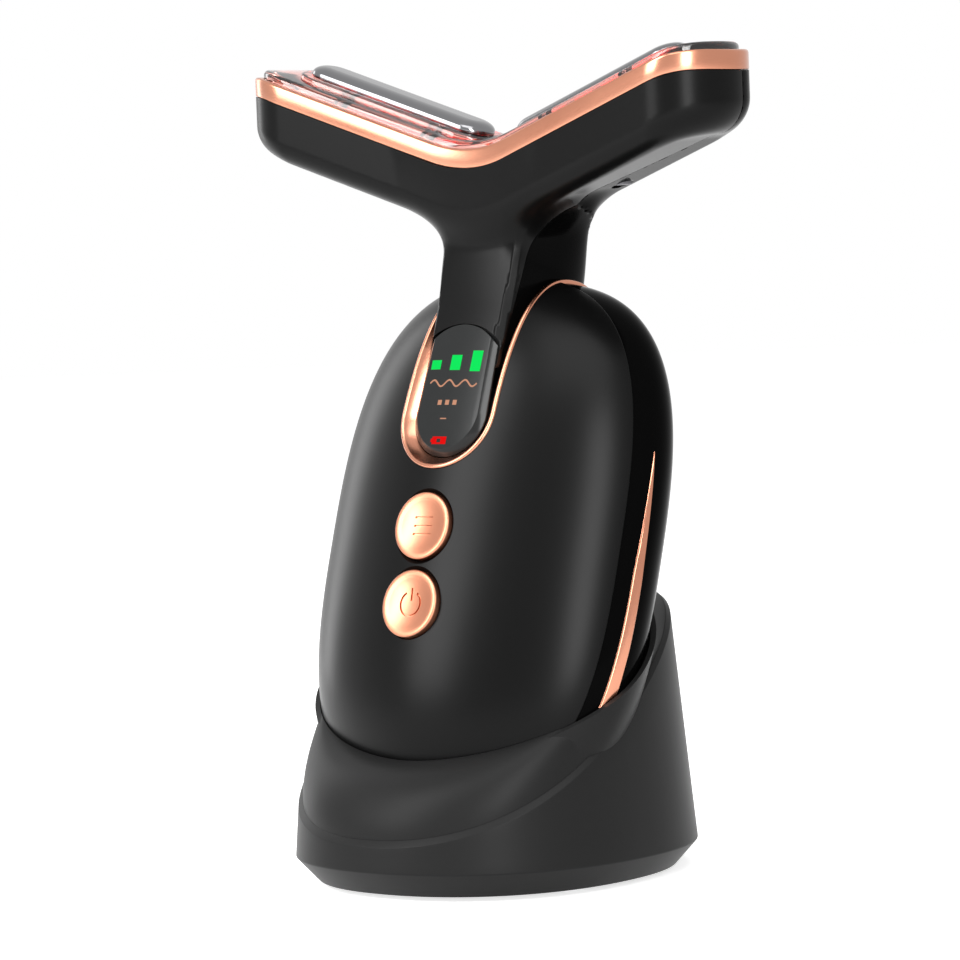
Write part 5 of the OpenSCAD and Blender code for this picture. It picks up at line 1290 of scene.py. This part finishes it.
# Sintered tungsten: dark, heavy metal with an open grain, whose 0.1 mm pores are drawn at 0.4 mm
sintered = new_material("sintered_tungsten")
where = add(sintered, "TexCoord")
pores = add(sintered, "TexNoise", {"Scale": grain_scale(0.4), "Detail": 4.0}, {"Vector": (where, "Object")})
bump = add(sintered, "Bump", {"Strength": 0.4, "Distance": 0.00005}, {"Height": (pores, "Fac")})
body = add(sintered, "BsdfPrincipled", {"Base Color": srgb("#7d7f83"), "Metallic": 1.0, "Roughness": 0.45},
           {"Normal": (bump, "Normal")})
add(sintered, "OutputMaterial", None, {"Surface": (body, "BSDF")})
dress("motor_rotor", sintered)

# Gold flash over nickel on the turned contacts: a yellow mirror with faint turning rings
gold = new_material("gold_plated_brass")
where = add(gold, "TexCoord")
rings_seen = add(gold, "TexNoise", {"Scale": grain_scale(0.5)}, {"Vector": (where, "Object")})
sheen = add(gold, "MapRange", {"To Min": 0.14, "To Max": 0.26}, {"Value": (rings_seen, "Fac")})
body = add(gold, "BsdfPrincipled", {"Base Color": srgb("#dcb35c"), "Metallic": 1.0}, {"Roughness": (sheen, "Result")})
add(gold, "OutputMaterial", None, {"Surface": (body, "BSDF")})
for name in ("handset_contacts", "contact_pin_left", "contact_pin_right"):
    dress(name, gold)

# ---- Dock base, weight and feet -----------------------------------------------------------------
# A black ABS plate screwed up into the cup closes the dock; a steel bar on it keeps the dock from
# tipping, and four rubber discs are glued under it.

# Matt ABS: a coarser grain than the wall's, so the plate stays flat and dark under the bevel. Its
# 0.15 mm grit is drawn at 0.5 mm.
base_abs = new_material("moulded_abs_matt_base")
where = add(base_abs, "TexCoord")
grain = add(base_abs, "TexNoise", {"Scale": grain_scale(0.5), "Detail": 3.0}, {"Vector": (where, "Object")})
bump = add(base_abs, "Bump", {"Strength": 0.3, "Distance": 0.00006}, {"Height": (grain, "Fac")})
body = add(base_abs, "BsdfPrincipled", {"Base Color": srgb("#202020"), "Roughness": 0.55, "IOR": 1.54},
           {"Normal": (bump, "Normal")})
add(base_abs, "OutputMaterial", None, {"Surface": (body, "BSDF")})
dress("dock_base", base_abs)

# Cut mild steel: grey mill skin with darker scale
mill_steel = new_material("mild_steel_mill_finish")
where = add(mill_steel, "TexCoord")
scale = add(mill_steel, "TexNoise", {"Scale": grain_scale(4), "Detail": 5.0}, {"Vector": (where, "Object")})
shade = add(mill_steel, "ValToRGB", None, {"Fac": (scale, "Fac")})
shade.color_ramp.elements[0].color, shade.color_ramp.elements[1].color = srgb("#6c6e71"), srgb("#97999c")
body = add(mill_steel, "BsdfPrincipled", {"Metallic": 1.0, "Roughness": 0.5}, {"Base Color": (shade, "Color")})
add(mill_steel, "OutputMaterial", None, {"Surface": (body, "BSDF")})
dress("dock_weight", mill_steel)

# Silicone rubber: matt black that takes a little dust at its rim
rubber = new_material("silicone_rubber_black")
where = add(rubber, "TexCoord")
dust = add(rubber, "TexNoise", {"Scale": grain_scale(1.0), "Detail": 5.0}, {"Vector": (where, "Object")})
shade = add(rubber, "ValToRGB", None, {"Fac": (dust, "Fac")})
shade.color_ramp.elements[0].color, shade.color_ramp.elements[1].color = srgb("#151515"), srgb("#232322")
body = add(rubber, "BsdfPrincipled", {"Roughness": 0.7, "IOR": 1.41}, {"Base Color": (shade, "Color")})
add(rubber, "OutputMaterial", None, {"Surface": (body, "BSDF")})
dress("dock_feet", rubber)

# ---- Floor, light and camera --------------------------------------------------------------------
# The photograph's studio: a white floor and background, tall soft boxes on the left and beside the
# camera, a weak one behind on the left, one above, and a long lens level with the head.

# White paper sweep: pale grey where it lights the object, pure white where the camera, a reflection
# or the clear window sees it, with only the contact shadow left
floor_mat = new_material("studio_floor_white")
ray = add(floor_mat, "LightPath")
seen = add(floor_mat, "Math", None, {0: (ray, "Is Camera Ray"), 1: (ray, "Is Glossy Ray")}, operation="MAXIMUM")
seen = add(floor_mat, "Math", None, {0: (seen, "Value"), 1: (ray, "Is Transmission Ray")}, operation="MAXIMUM")
grey = add(floor_mat, "BsdfDiffuse", {"Color": srgb("#f2f2f2")})
glow = add(floor_mat, "Emission", {"Color": (1, 1, 1, 1), "Strength": 0.7})
both = add(floor_mat, "AddShader", None, {0: (grey, "BSDF"), 1: (glow, "Emission")})
lit = add(floor_mat, "MixShader", None, {0: (seen, "Value"), 1: (grey, "BSDF"), 2: (both, "Shader")})
add(floor_mat, "OutputMaterial", None, {"Surface": (lit, "Shader")})

FLOOR_N, FLOOR_Z = 96, -0.05
a = np.radians(np.linspace(0, 360, FLOOR_N, endpoint=False))
discs = [np.stack([r * np.cos(a), r * np.sin(a), FLOOR_Z + 0 * a], -1) for r in (1.0, 600.0, 2500.0)]
verts, faces = loft(discs, caps=False)
floor = new_piece("studio_floor", verts, [tuple(range(FLOOR_N))] + faces)
floor.data.materials.append(floor_mat)

world = bpy.data.worlds.new("studio")
bpy.context.scene.world = world
world.use_nodes = True
world.node_tree.nodes.clear()
ray = add(world, "LightPath")
seen = add(world, "Math", None, {0: (ray, "Is Camera Ray"), 1: (ray, "Is Transmission Ray")}, operation="MAXIMUM")
seen = add(world, "Math", None, {0: (ray, "Is Glossy Ray"), 1: (seen, "Value")}, operation="MAXIMUM")
room = add(world, "Background", {"Color": (1, 1, 1, 1), "Strength": 0.35})
white = add(world, "Background", {"Color": (1, 1, 1, 1), "Strength": 1.0})
mix = add(world, "MixShader", None, {0: (seen, "Value"), 1: (room, "Background"), 2: (white, "Background")})
add(world, "OutputWorld", None, {"Surface": (mix, "Shader")})

# Camera fitted to the photograph: its place in metres, where it looks, its tilt and its long lens
EYE = Vector((0.4825, -0.57495, 0.1114))
AZIMUTH, PITCH, ROLL = radians(40.05), radians(3.47), radians(2.2)
back = Vector((sin(AZIMUTH) * cos(PITCH), -cos(AZIMUTH) * cos(PITCH), sin(PITCH)))
level = Vector((cos(AZIMUTH), sin(AZIMUTH), 0))
rise = back.cross(level)
right = level * cos(ROLL) - rise * sin(ROLL)
up = rise * cos(ROLL) + level * sin(ROLL)
lens = bpy.data.cameras.new("camera")
camera = bpy.data.objects.new("camera", lens)
bpy.context.collection.objects.link(camera)
camera.matrix_world = Matrix((right, up, back)).transposed().to_4x4()
camera.location = EYE
lens.sensor_width, lens.lens = 36.0, 170.0
lens.clip_start, lens.clip_end = 0.01, 20.0
bpy.context.scene.camera = camera

LIT_HEIGHT = 0.09


def soft_box(name, turn, height, distance, wide, tall, watts):
    """A rectangular soft light on a circle round the object; turn is measured from the camera."""
    lamp = bpy.data.lights.new(name, "AREA")
    lamp.shape, lamp.size, lamp.size_y, lamp.energy = "RECTANGLE", wide, tall, watts
    box = bpy.data.objects.new(name, lamp)
    bpy.context.collection.objects.link(box)
    a = AZIMUTH + radians(turn)
    box.location = (sin(a) * distance, -cos(a) * distance, height)
    aim = Vector((0, 0, LIT_HEIGHT)) - box.location
    box.rotation_euler = aim.to_track_quat("-Z", "Y").to_euler()


soft_box("box_left", -66, 0.5, 0.85, 0.34, 0.8, 8.2)
soft_box("box_front", 6, 0.4, 0.95, 0.26, 0.75, 8.0)
soft_box("box_rear", -138, 0.25, 0.8, 0.2, 0.6, 1.2)
soft_box("box_over", -10, 0.95, 0.5, 0.7, 0.5, 4.0)

bpy.context.scene.view_settings.view_transform = "Standard"
